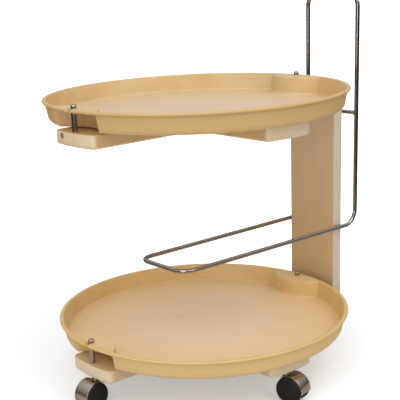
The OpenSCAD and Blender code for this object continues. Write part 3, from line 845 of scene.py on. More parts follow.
@dataclass
class Tray:
    """One round tray: a drafted basin with a lip and two hand-holds, a pin hole and a pin notch."""

    node: str
    finish: Finish
    rim_t: float = 4.6 * MM
    lip: float = 5.0 * MM
    wall: float = 3.0 * MM
    draft: float = 10.0
    corner: float = 9.0 * MM
    edge: float = 2.0 * MM
    hold_out: float = 26.0 * MM
    hold_r: float = 71.0 * MM
    hold_draft: float = 3.0 * MM
    pin_inset: float = 12.7 * MM
    pin_r: float = 5.25 * MM
    collar_t: float = 2.8 * MM
    collar_h: float = 3.0 * MM
    mouth_r: float = 3.5 * MM
    blend: float = 5.0 * MM
    crisp: float = 9.0 * MM
    tight: float = 1.5 * MM
    fade: float = 4 * MM
    step: float = 0.8 * MM
    beyond: float = 10.0

    def __post_init__(self) -> None:
        """Reads the tray's place and size from the frame."""
        low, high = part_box(self.node)
        self.axis = ((low.x + high.x) / 2, (low.y + high.y) / 2)
        self.rim_r = (high.y - low.y) / 2
        self.rim_z = high.z
        self.depth = high.z - low.z
        self.pin_x = self.rim_r - self.pin_inset

    def outer(self, z: np.ndarray) -> np.ndarray:
        """Radius of the plain outside wall at a height below the rim: it leans out by the draft."""
        return self.rim_r - self.lip + (z + self.rim_t) * math.tan(math.radians(self.draft))

    def inner(self, z: np.ndarray) -> np.ndarray:
        """Radius of the plain inside wall, one wall thickness in from the outside."""
        return self.outer(z) - self.wall / math.cos(math.radians(self.draft))

    def hold(self, angle: np.ndarray, radius: float, z: np.ndarray) -> np.ndarray:
        """Distance from the tray axis to a hand-hold arc along each direction.

        The arc is a circle of the radius given, centred outside the rim on the X axis; a ray at angle a meets
        it at c cos a - sqrt(r * r - (c sin a)^2), and where it misses, the distance is without limit.

        Args:
            angle: Directions from the tray axis.
            radius: The arc's radius at the rim.
            z: Heights below the rim.

        Returns:
            The distances.
        """
        centre = self.rim_r + self.hold_out
        r = radius - self.hold_draft * z / self.depth
        turned = np.abs(np.cos(angle))
        under = r * r - (centre * np.sin(angle)) ** 2
        return np.where(under > 0, centre * turned - np.sqrt(np.maximum(under, 0)), self.beyond)

    def angles(self) -> np.ndarray:
        """Column angles: one a degree, and closer together where the hand-holds meet the wall.

        Returns:
            Angles in radians.
        """
        even = np.radians(np.arange(0, 360, 1.0))
        near = np.radians(np.concatenate([np.linspace(8.0, 16.0, 54), np.linspace(0.4, 7.6, 13)]))
        turns = np.concatenate([near, -near, math.pi + near, math.pi - near])
        return np.unique(np.round(np.concatenate([even, turns]) % TAU, 6))

    def build(self) -> Thing:
        """Builds the shell as rows round the axis, from the underside over the lip to the floor.

        The outer corner is tight where a hand-hold cuts in and fades to its full radius beside it. Under the
        lip the wall meets it in a small step.

        Returns:
            The cut shell.
        """
        angle = self.angles()
        ones = np.ones_like(angle)
        rows: list[tuple[np.ndarray, np.ndarray]] = []

        def row(radius: np.ndarray, z: np.ndarray | float) -> None:
            """Adds one row of radii at a height or heights."""
            rows.append((radius * ones, z * ones))

        def plain(z: float) -> np.ndarray:
            """Outside radii at a height below the rim."""
            return smooth_min(self.outer(z), self.hold(angle, self.hold_r - self.wall, z), self.crisp)

        def basin(z: float) -> np.ndarray:
            """Inside radii at a height below the rim."""
            return smooth_min(self.inner(z), self.hold(angle, self.hold_r, z), self.blend)

        lean = math.cos(math.radians(self.draft))
        nose = self.rim_t / 2
        pocket = smooth_step(self.hold(angle, self.hold_r - self.wall, -self.rim_t)
                             - self.outer(-self.rim_t), 0.0, self.fade)
        corner = self.tight + (self.corner - self.tight) * pocket
        turn_z = corner - self.depth
        turn_r = plain(turn_z) - corner / lean
        for share in (0.25, 0.5, 0.75, 0.9):
            row(share * turn_r, -self.depth)
        for a in np.radians(np.linspace(-90, -self.draft, 9)):
            row(turn_r + corner * math.cos(a), turn_z + corner * math.sin(a))
        for share in (0.3, 0.6, 0.85):
            z = turn_z + share * (-self.rim_t - turn_z)
            row(plain(z), z)
        row(plain(-self.rim_t - 0.6 * MM), -self.rim_t - 0.6 * MM)
        foot = plain(-self.rim_t)
        row(foot + 0.2 * MM, -self.rim_t - 0.15 * MM)
        row(foot + self.step, -self.rim_t)
        for share in (0.4, 0.8):
            row(foot + self.step + share * (self.rim_r - nose - foot - self.step), -self.rim_t)
        for x, z in arc((self.rim_r - nose, -nose), nose, -90, 90, 12):
            row(x, z)
        lip_r = basin(-self.edge) + self.edge / lean
        for share in (0.15, 0.35, 0.6, 0.85):
            row(self.rim_r - nose + share * (lip_r - self.rim_r + nose), 0.0)
        for a in np.radians(np.linspace(90, 180 - self.draft, 9)):
            row(lip_r + self.edge * math.cos(a), self.edge * (math.sin(a) - 1))
        fillet = self.corner - self.wall
        fillet_z = fillet - self.depth + self.wall
        for share in (0.2, 0.4, 0.6, 0.8):
            z = -self.edge + share * (fillet_z + self.edge)
            row(basin(z), z)
        fillet_r = basin(fillet_z) - fillet / lean
        for a in np.radians(np.linspace(-self.draft, -90, 9)):
            row(fillet_r + fillet * math.cos(a), fillet_z + fillet * math.sin(a))
        for share in np.linspace(0.94, 0.08, 14):
            row(share * fillet_r, self.wall - self.depth)
        radius = np.array([r for r, _ in rows])
        height = np.array([z for _, z in rows]) + self.rim_z
        skin = Skin(self.node + "_shell")
        skin.polar(radius, height, angle, self.axis, self.rim_z - self.depth,
                   self.rim_z - self.depth + self.wall)
        shell = skin.make(30.0)
        cut(shell, [self.hole_tool(), self.notch_tool()], 30.0)
        return shell

    def cutter(self, name: str, outline: np.ndarray) -> Thing:
        """An outline carried straight up through the rim, as a closed tool.

        Args:
            name: The tool's name.
            outline: Its plan.

        Returns:
            The tool.
        """
        skin = Skin(name)
        skin.tube(lifted(outline, np.array([self.rim_z - 2 * self.rim_t, self.rim_z + self.rim_t])))
        return skin.make()

    def hole_tool(self) -> Thing:
        """Round cutter of the pin hole on the column's side."""
        outline = arc((self.axis[0] + self.pin_x, self.axis[1]), self.pin_r, 3.75, 363.75, 48)[:-1]
        return self.cutter("hole_tool", outline)

    def notch_tool(self) -> Thing:
        """Cutter of the notch: round at the pin, straight to the rim, with a mouth that widens in two arcs.

        Returns:
            The cutter.
        """
        r, m = self.pin_r, self.mouth_r
        edge = -self.rim_r + m
        half = np.vstack([
            arc((-self.pin_x, 0.0), r, 0, 90, 16),
            arc((edge, r + m), m, -90, -180, 10),
            [[edge - 4 * m, r + m]],
        ])
        outline = np.vstack([half, (half * [1, -1])[::-1][:-1]]) + np.array(self.axis)
        return self.cutter("notch_tool", outline)

    def collars(self) -> Thing:
        """The ring under the hole and the open ring under the notch, each a small section turned about a pin.

        Returns:
            Both rings as one object.
        """
        skin = Skin(self.node + "_collars")
        inner, outer = self.pin_r, self.pin_r + self.collar_t
        top = self.rim_z - self.rim_t + 0.3 * MM
        low = self.rim_z - self.rim_t - self.collar_h
        soft = self.step
        section = np.array([[inner, top], [inner, low + soft], [inner + soft, low], [outer - soft, low],
                            [outer, low + soft], [outer, top]])
        ring = Spot((self.axis[0] + self.pin_x, self.axis[1], 0.0))
        skin.turned(section, ring, 48, closed=True)
        gap = math.degrees(math.asin(self.pin_r / outer))
        turn = np.radians(np.linspace(-180 + gap, 180 - gap, 49))
        skin.tube(around(section, turn) + [self.axis[0] - self.pin_x, self.axis[1], 0.0])
        return skin.make()

    def assemble(self) -> None:
        """Builds, dresses and hands over the tray."""
        body = self.node
        hand_over(self.build(), self.finish, body, self.node)
        hand_over(self.collars(), self.finish, body)
        LOG.info("%s: radius %.1f mm, rim at %.1f mm", self.node, self.rim_r / MM, self.rim_z / MM)


# ------------------------------------------------------------------ supports

@dataclass(frozen=True)
class Outline:
    """A closed outline in a plane: points and the outward direction at each."""

    points: np.ndarray
    outward: np.ndarray

    @staticmethod
    def joined(parts: list[Stretch]) -> "Outline":
        """Joins stretches of points and directions end to end."""
        return Outline(np.vstack([p for p, _ in parts]), np.vstack([n for _, n in parts]))

    @staticmethod
    def square(x: float, y: float) -> Stretch:
        """A square convex corner: its direction is the mitre's, so an inset keeps both sides straight."""
        return np.array([[x, y]]), np.array([[math.copysign(1.0, x), math.copysign(1.0, y)]])

    @staticmethod
    def bend(centre: tuple[float, float], radius: float, start: float, end: float, steps: int,
             outward: int = 1) -> Stretch:
        """A round stretch; outward is 1 on a convex corner and -1 on a hollow one."""
        unit = arc((0.0, 0.0), 1.0, start, end, steps)
        return np.array(centre) + radius * unit, outward * unit

    def skin(self, profile: np.ndarray, spot: Spot, name: str) -> Skin:
        """Carries a profile of (inset, level) round the outline: point - inset * outward, at the level.

        Args:
            profile: Insets from the outline and levels along the spot's third direction.
            spot: Where the outline's plane stands.
            name: Name of the piece.

        Returns:
            A closed skin with a flat face at each end of the profile.
        """
        flat = self.points[None] - profile[:, None, 0:1] * self.outward[None]
        level = np.repeat(profile[:, None, 1:2], len(self.points), 1)
        made = Skin(name)
        made.tube(spot.place(np.concatenate([flat, level], axis=-1)))
        return made


@dataclass
class Cross:
    """A cross-shaped support moulding: three free arms with curved ends and one that meets the column."""

    node: str
    cover: str
    screws: str
    finish: Finish
    cover_finish: Finish
    screw_finish: Finish
    tray: Tray
    casters: tuple[tuple[float, float], ...] = ()
    half_x: float = 54 * MM
    half_y: float = 48.5 * MM
    inset_x: float = 3 * MM
    inset_y: float = 33 * MM
    fillet: float = 20 * MM
    corner: float = 12 * MM
    low_edge: float = 4.5 * MM
    top_edge: float = 2 * MM
    thickness: float = 22.6 * MM
    seat: float = 6.5 * MM
    recess: float = 3.6 * MM
    pad_inset: float = 70 * MM
    pad_r: float = 10 * MM
    pad_h: float = 1.7 * MM
    boss_r: float = 9.3 * MM
    boss_edge: float = 0.5 * MM
    stem_r: float = 7.6 * MM
    stem_edge: float = 0.1 * MM
    stem_h: float = 2 * MM
    sink: float = 1 * MM
    soft: float = 0.8 * MM
    groove_soft: float = 0.4 * MM

    def __post_init__(self) -> None:
        """Reads the moulding's place from the frame."""
        low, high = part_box(self.node)
        self.base_z = low.z
        self.column_x = high.x - self.tray.axis[0]
        self.end_x = self.tray.rim_r - self.inset_x
        self.end_y = self.tray.rim_r - self.inset_y

    def arm(self, way: int, half: float, end: float) -> list[Stretch]:
        """A free arm's curved end between two round corners.

        A corner's centre lies at half - corner to the side and at sqrt((end - corner)^2 - (half - corner)^2)
        along the arm, so that the corner's arc runs smoothly into the end's arc about the tray's axis.

        Args:
            way: The arm's direction in degrees.
            half: Half of its width.
            end: Distance of its end from the tray's axis.

        Returns:
            The three stretches, anticlockwise.
        """
        side = half - self.corner
        along = math.sqrt((end - self.corner) ** 2 - side ** 2)
        lean = math.degrees(math.atan2(side, along))
        reach, turn = math.hypot(side, along), math.radians(way)
        first, last = ((reach * math.cos(turn + a), reach * math.sin(turn + a))
                       for a in (-math.radians(lean), math.radians(lean)))
        bend = Outline.bend
        return [bend(first, self.corner, way - 90, way - lean, 16),
                bend((0, 0), end, way - lean, way + lean, 32),
                bend(last, self.corner, way + lean, way + 90, 16)]

    def outline(self) -> Outline:
        """The plan, anticlockwise from the column's end: three free arms and four hollow corners.

        Returns:
            The closed outline, counted from the tray's axis.
        """
        parts = [Outline.square(self.column_x, side * self.half_x) for side in (-1, 1)]
        x, y = self.half_y + self.fillet, self.half_x + self.fillet
        hollows = ((x, y, 270), (-x, y, 360), (-x, -y, 90), (x, -y, 180))
        arms = [self.arm(90, self.half_y, self.end_y), self.arm(180, self.half_x, self.end_x),
                self.arm(270, self.half_y, self.end_y), []]
        for (at_x, at_y, start), arm in zip(hollows, arms):
            parts += [Outline.bend((at_x, at_y), self.fillet, start, start - 90, 16, -1), *arm]
        return Outline.joined(parts)

    def profile(self) -> np.ndarray:
        """Section of the rim: recess for the closing plate, round lower edge, side and round upper edge.

        Returns:
            Points of inset and level.
        """
        soft = self.groove_soft
        return np.vstack([[[self.seat, self.recess], [self.seat, soft], [self.seat - soft, 0.0]],
                          rounded(self.low_edge, -90, 0, 8, self.low_edge),
                          rounded(self.top_edge, 0, 90, 6, self.thickness - self.top_edge),
                          [[self.low_edge + self.top_edge, self.thickness]]])

    def build(self) -> Thing:
        """Builds the moulding with its raised pads and caster bosses.

        Returns:
            The moulding.
        """
        at = (self.tray.axis[0], self.tray.axis[1], self.base_z)
        skin = self.outline().skin(self.profile(), Spot(at), self.node + "_moulding")
        sink, soft = self.sink, self.soft
        pad = np.vstack([[[0.0, -sink], [self.pad_r, -sink]],
                         arc((self.pad_r - soft, self.pad_h - soft), soft, 0, 90, 4), [[0.0, self.pad_h]]])
        reach = self.tray.rim_r - self.pad_inset
        for x, y in ((reach, 0), (0, reach), (-reach, 0), (0, -reach)):
            skin.turned(pad, Spot((at[0] + x, at[1] + y, self.base_z + self.thickness)), 48)
        top, edge = self.recess + sink, self.boss_edge
        boss = np.array([[0.0, self.stem_h], [self.stem_r, self.stem_h], [self.stem_r + self.stem_edge, 0.0],
                         [self.boss_r - edge, 0.0], [self.boss_r, edge], [self.boss_r, top], [0.0, top]])
        for x, y in self.casters:
            skin.turned(boss, Spot((x, y, self.base_z)), 48)
        return skin.make(30.0)

    def assemble(self) -> None:
        """Builds, dresses and hands over the moulding, and dresses its plate and screws."""
        hand_over(self.build(), self.finish, "stand", self.node)
        dress(self.cover, self.cover_finish)
        dress(self.screws, self.screw_finish)
        LOG.info("%s: underside at %.1f mm", self.node, self.base_z / MM)


@dataclass
class Column:
    """The flat column: a shallow box with round edges whose back panel sits in a recess."""

    finish: Finish
    back_finish: Finish
    screw_finish: Finish
    node: str = "column"
    edge: float = 2.5 * MM
    soft: float = 0.5 * MM
    wall: float = 3.0 * MM
    play: float = 0.1 * MM

    def build(self) -> Thing:
        """Carries the section from the back recess over the sides to the broad face, round a rounded oblong.

        Returns:
            The column.
        """
        low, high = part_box(self.node)
        half, tall, deep = (high.y - low.y) / 2, (high.z - low.z) / 2, high.x - low.x
        r, soft = self.edge, self.soft
        turn = self.wall + self.play
        x, y = half - turn, tall - turn
        corners = ((x, -y), (x, y), (-x, y), (-x, -y))
        plan = Outline.joined([Outline.bend(at, turn, 90 * i - 90, 90 * i, 8)
                               for i, at in enumerate(corners)])
        profile = np.vstack([
            [[self.wall, -deep + self.wall + 2 * self.play], [self.wall, soft - deep],
             [self.wall - soft, -deep]],
            rounded(soft, -90, 0, 3, soft - deep), rounded(r, 0, 90, 6, -r),
        ])
        spot = Spot((low.x, (low.y + high.y) / 2, (low.z + high.z) / 2), (0.0, 1.0, 0.0), (0.0, 0.0, 1.0),
                    (-1.0, 0.0, 0.0))
        return plan.skin(profile, spot, "column_box").make(30.0)

    def assemble(self) -> None:
        """Builds, dresses and hands over the column and dresses its panel and screws."""
        hand_over(self.build(), self.finish, "stand", self.node)
        dress("column_back", self.back_finish)
        for node in ("column_screws", "back_screws"):
            dress(node, self.screw_finish)
        LOG.info("column: built round the frame's box")


# ------------------------------------------------------------------ wire rod

@dataclass
class WireFrame:
    """The bent rod: push handle, uprights, rack rods and end rod in one loop, with a welded cross rod."""

    finish: Finish
    saddle_finish: Finish
    bracket_finish: Finish
    screw_finish: Finish
    node: str = "wire_frame"
    rod_r: float = 4.0 * MM
    cross_r: float = 3.75 * MM
    cross_drop: float = 41 * MM
    handle_bend: float = 27 * MM
    rack_bend: float = 28 * MM
    rack_corner: float = 25 * MM
    bead_r: float = 1.6 * MM
    bead_out: float = 0.4 * MM

    def __post_init__(self) -> None:
        """Reads the loop's corners from the frame."""
        low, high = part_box(self.node)
        self.side_y = high.y - self.rod_r
        self.up_x = high.x - self.rod_r
        self.end_x = low.x + self.rod_r
        self.rack_z = low.z + self.rod_r
        self.bar_z = high.z - self.rod_r
        self.cross_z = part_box("column")[1].z - self.cross_drop

    def half_path(self) -> np.ndarray:
        """One side of the loop, from the end rod to the handle bar: three quarter bends and the runs between.

        Returns:
            Stations of the path.
        """
        c, b, h = self.rack_corner, self.rack_bend, self.handle_bend
        corner = arc((self.end_x + c, self.side_y - c), c, 180, 90, 14)
        turn = arc((self.up_x - b, self.rack_z + b), b, -90, 0, 14)
        top = arc((self.side_y - h, self.bar_z - h), h, 0, 90, 14)
        run = np.linspace(0.06, 0.94, 14)[:, None]
        first = np.column_stack([corner, np.full(len(corner), self.rack_z)])
        second = np.column_stack([turn[:, 0], np.full(len(turn), self.side_y), turn[:, 1]])
        third = np.column_stack([np.full(len(top), self.up_x), top])
        return np.vstack([first, first[-1] + run * (second[0] - first[-1]), second,
                          second[-1] + run * (third[0] - second[-1]), third])

    def build(self) -> Thing:
        """Sweeps a circle round the whole loop, adds the cross rod and the weld beads at its ends.

        Returns:
            The rod.
        """
        half = self.half_path()
        bar = np.linspace(half[-1], half[-1] * [1, -1, 1], 8)[1:-1]
        end = np.linspace(half[0] * [1, -1, 1], half[0], 8)[1:-1]
        loop = np.vstack([half, bar, (half * [1, -1, 1])[::-1], end])
        skin = Skin("wire_loop")
        skin.swept(round_section(self.rod_r, 32), loop, closed=True)
        cross_end = np.array([self.up_x, self.side_y, self.cross_z])
        cross = np.linspace(cross_end * [1, -1, 1], cross_end, 12)
        skin.swept(round_section(self.cross_r, 32), cross)
        for side in (-1, 1):
            turn = np.arange(33)[:-1] * TAU / 32
            across = (self.rod_r - self.bead_r) * np.cos(turn)
            reach = np.sqrt(self.rod_r ** 2 - across ** 2)
            ring = np.column_stack([self.up_x + across, side * (self.side_y - reach),
                                    self.cross_z + (self.cross_r + self.bead_out) * np.sin(turn)])
            skin.swept(round_section(self.bead_r, 12), ring, closed=True)
        return skin.make(50.0)

    def assemble(self) -> None:
        """Builds, dresses and hands over the rod and dresses what holds it."""
        hand_over(self.build(), self.finish, "stand", self.node)
        dress("rack_saddles", self.saddle_finish)
        dress("bar_brackets", self.bracket_finish)
        for node in ("bracket_screws", "saddle_screws"):
            dress(node, self.screw_finish)
        LOG.info("wire rod: handle bar at %.1f mm, rack at %.1f mm", self.bar_z / MM, self.rack_z / MM)


@dataclass
class Pins:
    """A pair of chrome locating pins with domed heads."""

    node: str
    finish: Finish
    radius: float = 4.75 * MM
    dome: float = 3.2 * MM
    groove: float = 5.0 * MM
    groove_depth: float = 0.5 * MM

    def build(self) -> Thing:
        """Turns a bar with a groove under its domed head.

        Returns:
            Both pins as one object.
        """
        low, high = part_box(self.node)
        tall = high.z - low.z
        r = self.radius
        profile = np.vstack([
            [[0.0, 0.0], [r, 0.0], [r, tall - self.groove - 0.3 * MM]],
            [[r - self.groove_depth, tall - self.groove + up] for up in (0.0, 0.5 * MM)],
            [[r, tall - self.groove + 0.8 * MM]],
            arc((r - self.dome, tall - self.dome), self.dome, 0, 80, 10),
            [[0.0, tall]],
        ])
        skin = Skin(self.node + "_bars")
        for x in (low.x + r, high.x - r):
            skin.turned(profile, Spot((x, (low.y + high.y) / 2, low.z)), 48)
        return skin.make(35.0)

    def assemble(self) -> None:
        """Builds, dresses and hands over the pins."""
        hand_over(self.build(), self.finish, "stand", self.node)
        LOG.info("%s: two pins", self.node)


@dataclass
class Plug:
    """The round plug in the end face of the upper support."""

    finish: Finish
    node: str = "hole_plug"
    tall: float = 1.0 * MM
    shank: float = 2.5 * MM
    flange: float = 1.0 * MM
    edge: float = 0.8 * MM
    dimple: float = 0.4 * MM

    def build(self) -> Thing:
        """Turns a shallow button with a dimple about the X axis.

        Returns:
            The plug.
        """
        low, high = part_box(self.node)
        r = (high.y - low.y) / 2
        tall, inner, sunk = self.tall, r - self.flange, self.tall - self.dimple
        profile = np.vstack([
            [[0.0, -self.shank], [inner, -self.shank], [inner, 0.0], [r, 0.0]],
            arc((r - self.edge, tall - self.edge), self.edge, 0, 80, 5),
            [[0.45 * r, tall], [0.35 * r, sunk], [0.0, sunk]],
        ])
        spot = Spot((low.x + tall, (low.y + high.y) / 2, (low.z + high.z) / 2), (0.0, 1.0, 0.0),
                    (0.0, 0.0, 1.0), (-1.0, 0.0, 0.0))
        skin = Skin("end_plug")
        skin.turned(profile, spot, 48)
        return skin.make(35.0)

    def assemble(self) -> None:
        """Builds, dresses and hands over the plug."""
        hand_over(self.build(), self.finish, "stand", self.node)
        LOG.info("plug: in the upper support's end")


# ------------------------------------------------------------------ casters

@dataclass
class Caster:
    """A twin-wheel caster: stem, body with its hood, axle and two wheels."""

    name: str
    hood_finish: Finish
    wheel_finish: Finish
    steel_finish: Finish
    hood_gap: float = 0.8 * MM
    hood_t: float = 1.2 * MM
    hood_w: float = 30.5 * MM
    hood_from: float = 48.0
    hood_to: float = 187.0
    core_w: float = 13 * MM
    wheel_gap: float = 0.5 * MM
    wheel_w: float = 10 * MM
    tread_edge: float = 2.6 * MM
    dish: float = 1.2 * MM
    bore_r: float = 3.05 * MM
    bore: float = 7.3 * MM
    crown: float = 0.5 * MM
    step: float = 1.6 * MM
    hub_r: float = 7.2 * MM
    hub_end: float = 348.0
    neck_edge: float = 1.2 * MM
    foot: float = 2 * MM

    def __post_init__(self) -> None:
        """Reads the swivel axis and the axle's place and direction from the frame's joints."""
        joints = {j["name"]: j for j in frame["joints"]}
        spin = joints[self.name + "_spin_near"]
        self.axle = np.array(spin["pos_m"])
        self.stem = np.array(joints[self.name + "_turn"]["pos_m"])
        way = self.stem - self.axle
        way[2] = 0.0
        self.trail = float(np.linalg.norm(way))
        self.ahead = way / self.trail
        self.across = np.array([-self.ahead[1], self.ahead[0], 0.0])
        low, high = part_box(self.name + "_wheel_near")
        self.wheel_r = (high.z - low.z) / 2

    def spot(self, side: int = 1) -> Spot:
        """The axle's place: local X points to the leading side, local Y up and local Z along the axle."""
        flip = tuple((side * self.across).tolist())
        return Spot(tuple(self.axle.tolist()), tuple(self.ahead.tolist()), (0.0, 0.0, 1.0), flip)

    def hood(self) -> Thing:
        """Carries a thin section with round edges about the axle, from before the stem to behind the wheels.

        Returns:
            The hood.
        """
        inner = self.wheel_r + self.hood_gap
        half, soft = self.hood_w / 2, self.hood_t / 2
        mid = inner + soft
        section = np.vstack([arc((mid, half - soft), soft, 0, 180, 6),
                             arc((mid, soft - half), soft, 180, 360, 6)])
        turn = np.radians(np.linspace(self.hood_from, self.hood_to, 72))
        skin = Skin(self.name + "_hood")
        skin.tube(self.spot().place(around(section, turn)))
        return skin.make(50.0)

    def core(self) -> Thing:
        """The web between the wheels: a sector about the axle with a hub, and an upright neck for the stem.

        Returns:
            The body.
        """
        skin = Skin(self.name + "_core")
        inner = self.wheel_r + self.hood_gap
        half = self.core_w / 2
        rim = arc((0.0, 0.0), inner, self.hood_from, self.hood_to, 40)
        hub = arc((0.0, 0.0), self.hub_r, self.hood_to, self.hub_end, 16)
        plan = np.vstack([rim, hub, [[self.trail, -self.foot]]])
        skin.tube(self.spot().place(lifted(plan, np.array([-half, half]))))
        _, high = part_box(self.name + "_housing")
        foot, soft = self.axle[2] - self.foot, self.neck_edge
        neck = np.vstack([[[0.0, foot], [half, foot], [half, high.z - soft]],
                          arc((half - soft, high.z - soft), soft, 0, 90, 4), [[0.0, high.z]]])
        skin.turned(neck, Spot((self.stem[0], self.stem[1], 0.0)), 40)
        return skin.make(35.0)

    def wheel(self, side: Side) -> Thing:
        """Turns a tread with round edges and a closed, slightly crowned face inside a shallow step.

        Args:
            side: Which wheel.

        Returns:
            The wheel.
        """
        w, r, e = self.wheel_w, self.wheel_r, self.tread_edge
        start = self.core_w / 2 + self.wheel_gap
        face = w - self.dish
        inset = r - e - self.step
        profile = np.vstack([
            [[0.0, self.bore], [self.bore_r, self.bore], [self.bore_r, 0.0], [r - e, 0.0]],
            arc((r - e, e), e, -90, 0, 7),
            arc((r - e, w - e), e, 0, 90, 7),
            [[r - e - 0.7 * MM, w - 0.1 * MM], [inset, face]],
            [[share * inset, face + self.crown * (1 - share ** 2)] for share in (0.8, 0.6, 0.4, 0.2, 0.0)],
        ])
        profile[:, 1] += start
        skin = Skin(f"{self.name}_{side.label}_disc")
        skin.turned(profile, self.spot(side.value), 72)
        return skin.make(35.0)

    def assemble(self) -> None:
        """Builds, dresses and hands over every piece of the caster."""
        swivel = self.name + "_swivel"
        hand_over(self.hood(), self.hood_finish, swivel, self.name + "_housing")
        hand_over(self.core(), self.hood_finish, swivel, self.name + "_housing")
        for side in Side:
            hand_over(self.wheel(side), self.wheel_finish, f"{self.name}_{side.label}",
                      f"{self.name}_wheel_{side.label}")
        dress(self.name + "_axle", self.steel_finish)
        dress(self.name + "_stem", self.steel_finish)
        LOG.info("%s caster: trail %.1f mm", self.name, self.trail / MM)


# ------------------------------------------------------------------ studio

@dataclass
class Studio:
    """Pale floor and backdrop, soft lamps and the world."""

    floor_half: float = 30.0
    shadow_depth: float = 0.3
    far_glow: float = 0.6
    fade: Size = (0.42, 0.8)
    tone: Colour = linear(231, 234, 238)
    gloss_fade: Size = (0.45, 1.2)
    gloss_near: Colour = linear(206, 198, 188)
    gloss_far: Colour = linear(68, 62, 58)
    world_level: float = 0.72
    gloss_level: float = 0.05
    gloss_top: float = 1.0
    aim: Point = (0.0, 0.0, 0.25)
    lamps: tuple[tuple[str, Point, Size, float], ...] = (
        ("left", (-1.9, -1.1, 2.8), (2.2, 2.2), 30.5),
        ("right", (0.5, -2.1, 2.8), (2.2, 2.2), 30.5),
        ("low", (-2.4, -1.5, 0.7), (1.2, 0.9), 10.5),
    )

    def floor(self) -> None:
        """A wide flat floor: white to the camera but for the object's shadow, and darker to gloss far off."""
        skin = Skin("floor")
        side = np.linspace(-self.floor_half, self.floor_half, 3)
        x, y = np.meshgrid(side, side)
        skin.grid(np.stack([x, y, np.zeros_like(x)], axis=-1))
        thing = skin.make()
        made = bpy.data.materials.new("studio_floor")
        graph = Graph(made, PRINCIPLED)
        x, y, _ = graph.parts()
        distance = graph.math("SQRT", x * x + y * y)
        away = distance.rise(*self.fade)
        mirrored = graph.mix(distance.rise(*self.gloss_fade), self.gloss_near, self.gloss_far)
        graph.set(Base_Color=graph.mix(graph.ray("Glossy"), self.tone, mirrored), Roughness=0.9,
                  Specular_IOR_Level=0.0, Emission_Color=WHITE,
                  Emission_Strength=graph.ray("Camera") * (self.shadow_depth + away * self.far_glow))
        thing.data.materials.append(made)
        thing.data.polygons.foreach_set("use_smooth", np.zeros(len(thing.data.polygons), bool))

    def world(self) -> None:
        """Even pale light, white to the camera, and to gloss a room dim low down and pale overhead."""
        world = bpy.data.worlds.new("studio")
        bpy.context.scene.world = world
        graph = Graph(world, "Background")
        _, _, up = graph.split(graph.node("ShaderNodeTexCoord", {}, {}, "Generated"))
        room = up.between(self.gloss_level, self.gloss_top)
        light = graph.ray("Glossy").between(self.world_level, room)
        graph.set(Color=WHITE, Strength=graph.ray("Camera").between(light, 1.0))

    def lamp(self, name: str, place: Point, size: Size, power: float) -> None:
        """Adds a soft rectangular lamp that shines towards the aim.

        Args:
            name: The lamp's name.
            place: Where it hangs.
            size: Its width and height.
            power: In watts.
        """
        data = bpy.data.lights.new(name, "AREA")
        data.shape = "RECTANGLE"
        data.size, data.size_y = size
        data.energy = power
        thing = link(name, data)
        thing.location = place
        thing.rotation_mode = "QUATERNION"
        thing.rotation_quaternion = (Vector(self.aim) - Vector(place)).to_track_quat("-Z", "Y")

    def assemble(self) -> None:
        """Sets up the floor, the world and the lamps."""
        self.floor()
        self.world()
        for lamp in self.lamps:
            self.lamp(*lamp)
        bpy.context.scene.view_settings.view_transform = "Standard"
        LOG.info("studio: floor, world and %d lamps", len(self.lamps))


@dataclass
class Camera:
    """The photograph's camera, in degrees, pixels and metres from the lower tray's rim centre."""

    tray: Tray
    yaw: float = -37.81
    pitch: float = 17.65
    roll: float = -2.90
    focal_px: float = 953.1
    centre_px: tuple[float, float] = (160.0, 270.0)
    frame_px: float = 400.0
    eye: Point = (-1.0605, -1.2450, 0.5925)
    sensor_mm: float = 36.0
    clip: Size = (0.05, 200.0)

    def assemble(self) -> None:
        """Places the camera: it looks along the yaw and pitch, and its roll turns it about that line."""
        yaw, pitch, roll = (math.radians(a) for a in (self.yaw, self.pitch, self.roll))
        look = Vector((-math.sin(yaw) * math.cos(pitch), math.cos(yaw) * math.cos(pitch), -math.sin(pitch)))
        right = Vector((math.cos(yaw), math.sin(yaw), 0.0))
        over = right.cross(look)
        right_rolled = math.cos(roll) * right + math.sin(roll) * over
        over_rolled = math.cos(roll) * over - math.sin(roll) * right
        data = bpy.data.cameras.new("photo_camera")
        data.sensor_width = self.sensor_mm
        data.sensor_fit = "HORIZONTAL"
        data.lens = self.focal_px / self.frame_px * data.sensor_width
        data.shift_x = (self.frame_px / 2 - self.centre_px[0]) / self.frame_px
        data.shift_y = (self.centre_px[1] - self.frame_px / 2) / self.frame_px
        data.clip_start, data.clip_end = self.clip
        thing = link("photo_camera", data)
        turn = Matrix((right_rolled, over_rolled, -look)).transposed()
        place = Vector((self.tray.axis[0], self.tray.axis[1], self.tray.rim_z)) + Vector(self.eye)
        thing.matrix_world = Matrix.Translation(place) @ turn.to_4x4()
        bpy.context.scene.camera = thing
        LOG.info("camera: lens %.1f mm", data.lens)


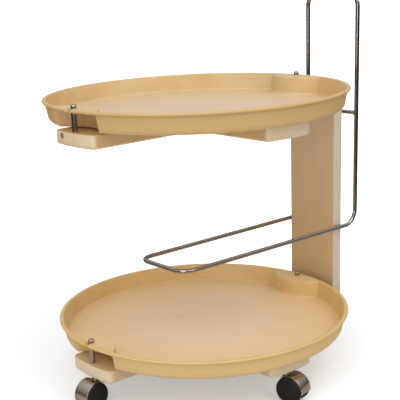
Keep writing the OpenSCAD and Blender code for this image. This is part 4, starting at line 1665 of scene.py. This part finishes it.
def main() -> None:
    """Builds every sub-assembly in order."""
    logging.basicConfig(level=logging.INFO, format="%(name)s: %(message)s")
    low_box, high_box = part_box("lower_tray"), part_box("upper_tray")
    axis_x = (low_box[0].x + low_box[1].x) / 2
    # The lower tray's tones are paler than the upper tray's: painted light, making up for the upper tray's
    # shade on it.
    lower = Tray("lower_tray", TrayPlastic(
        "tray_plastic", "lower_tray_plastic", axis_x, low_box[1].z, body=linear(220, 188, 130),
        deep=linear(214, 175, 108), outside=linear(206, 172, 112), floor=linear(228, 201, 167),
        floor_edge=linear(228, 194, 142), mark=(0.185, -0.080)))
    upper = Tray("upper_tray", TrayPlastic("tray_plastic", "upper_tray_plastic", axis_x, high_box[1].z))
    steel = ZincSteel("screw_steel", "zinc_steel")
    caster_steel = ZincSteel("caster_steel", "caster_zinc")
    chrome = Chrome("chrome_rod", "rod_chrome")
    hood_chrome = Chrome("chrome_hood", "hood_chrome", linear(182, 170, 157), linear(122, 104, 90), 0.18, 0.4)
    cover = CreamPlastic("cover_plastic", "cover_cream", linear(208, 192, 164), linear(192, 172, 138))
    camera = Camera(lower)
    Studio().assemble()
    camera.assemble()
    for tray in (lower, upper):
        tray.assemble()
    casters = [Caster(name, hood_chrome, DarkPlastic("wheel_black", "wheel_plastic"), caster_steel)
               for name in ("left", "right", "front", "rear")]
    feet = tuple((c.stem[0], c.stem[1]) for c in casters)
    for names, tray, stands in ((("base_cross", "base_cover", "base_cover_screws"), lower, feet),
                                (("top_cross", "top_cover", "top_cover_screws"), upper, ())):
        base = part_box(names[0])[0].z
        # The upper support gets more painted shade than the lower one.
        cream = CreamPlastic("support_plastic", names[0] + "_cream", shaded=0.35 if stands else 0.9,
                             axis_x=axis_x, low_z=base, high_z=base + 0.02)
        Cross(*names, cream, cover, steel, tray, stands).assemble()
    Column(ColumnPlastic("column_plastic", "column_cream"), cover, steel).assemble()
    WireFrame(chrome, chrome, DarkPlastic("black_plastic", "bracket_plastic"), steel).assemble()
    for node in ("lower_pins", "upper_pins"):
        Pins(node, chrome).assemble()
    Plug(PlugPlastic("brown_plug", "plug_brown")).assemble()
    socket_steel = ZincSteel("socket_steel", "socket_zinc", linear(130, 128, 124), linear(90, 86, 80))
    dress("caster_sockets", socket_steel)
    for caster in casters:
        caster.assemble()


if __name__ == "__main__":
    main()
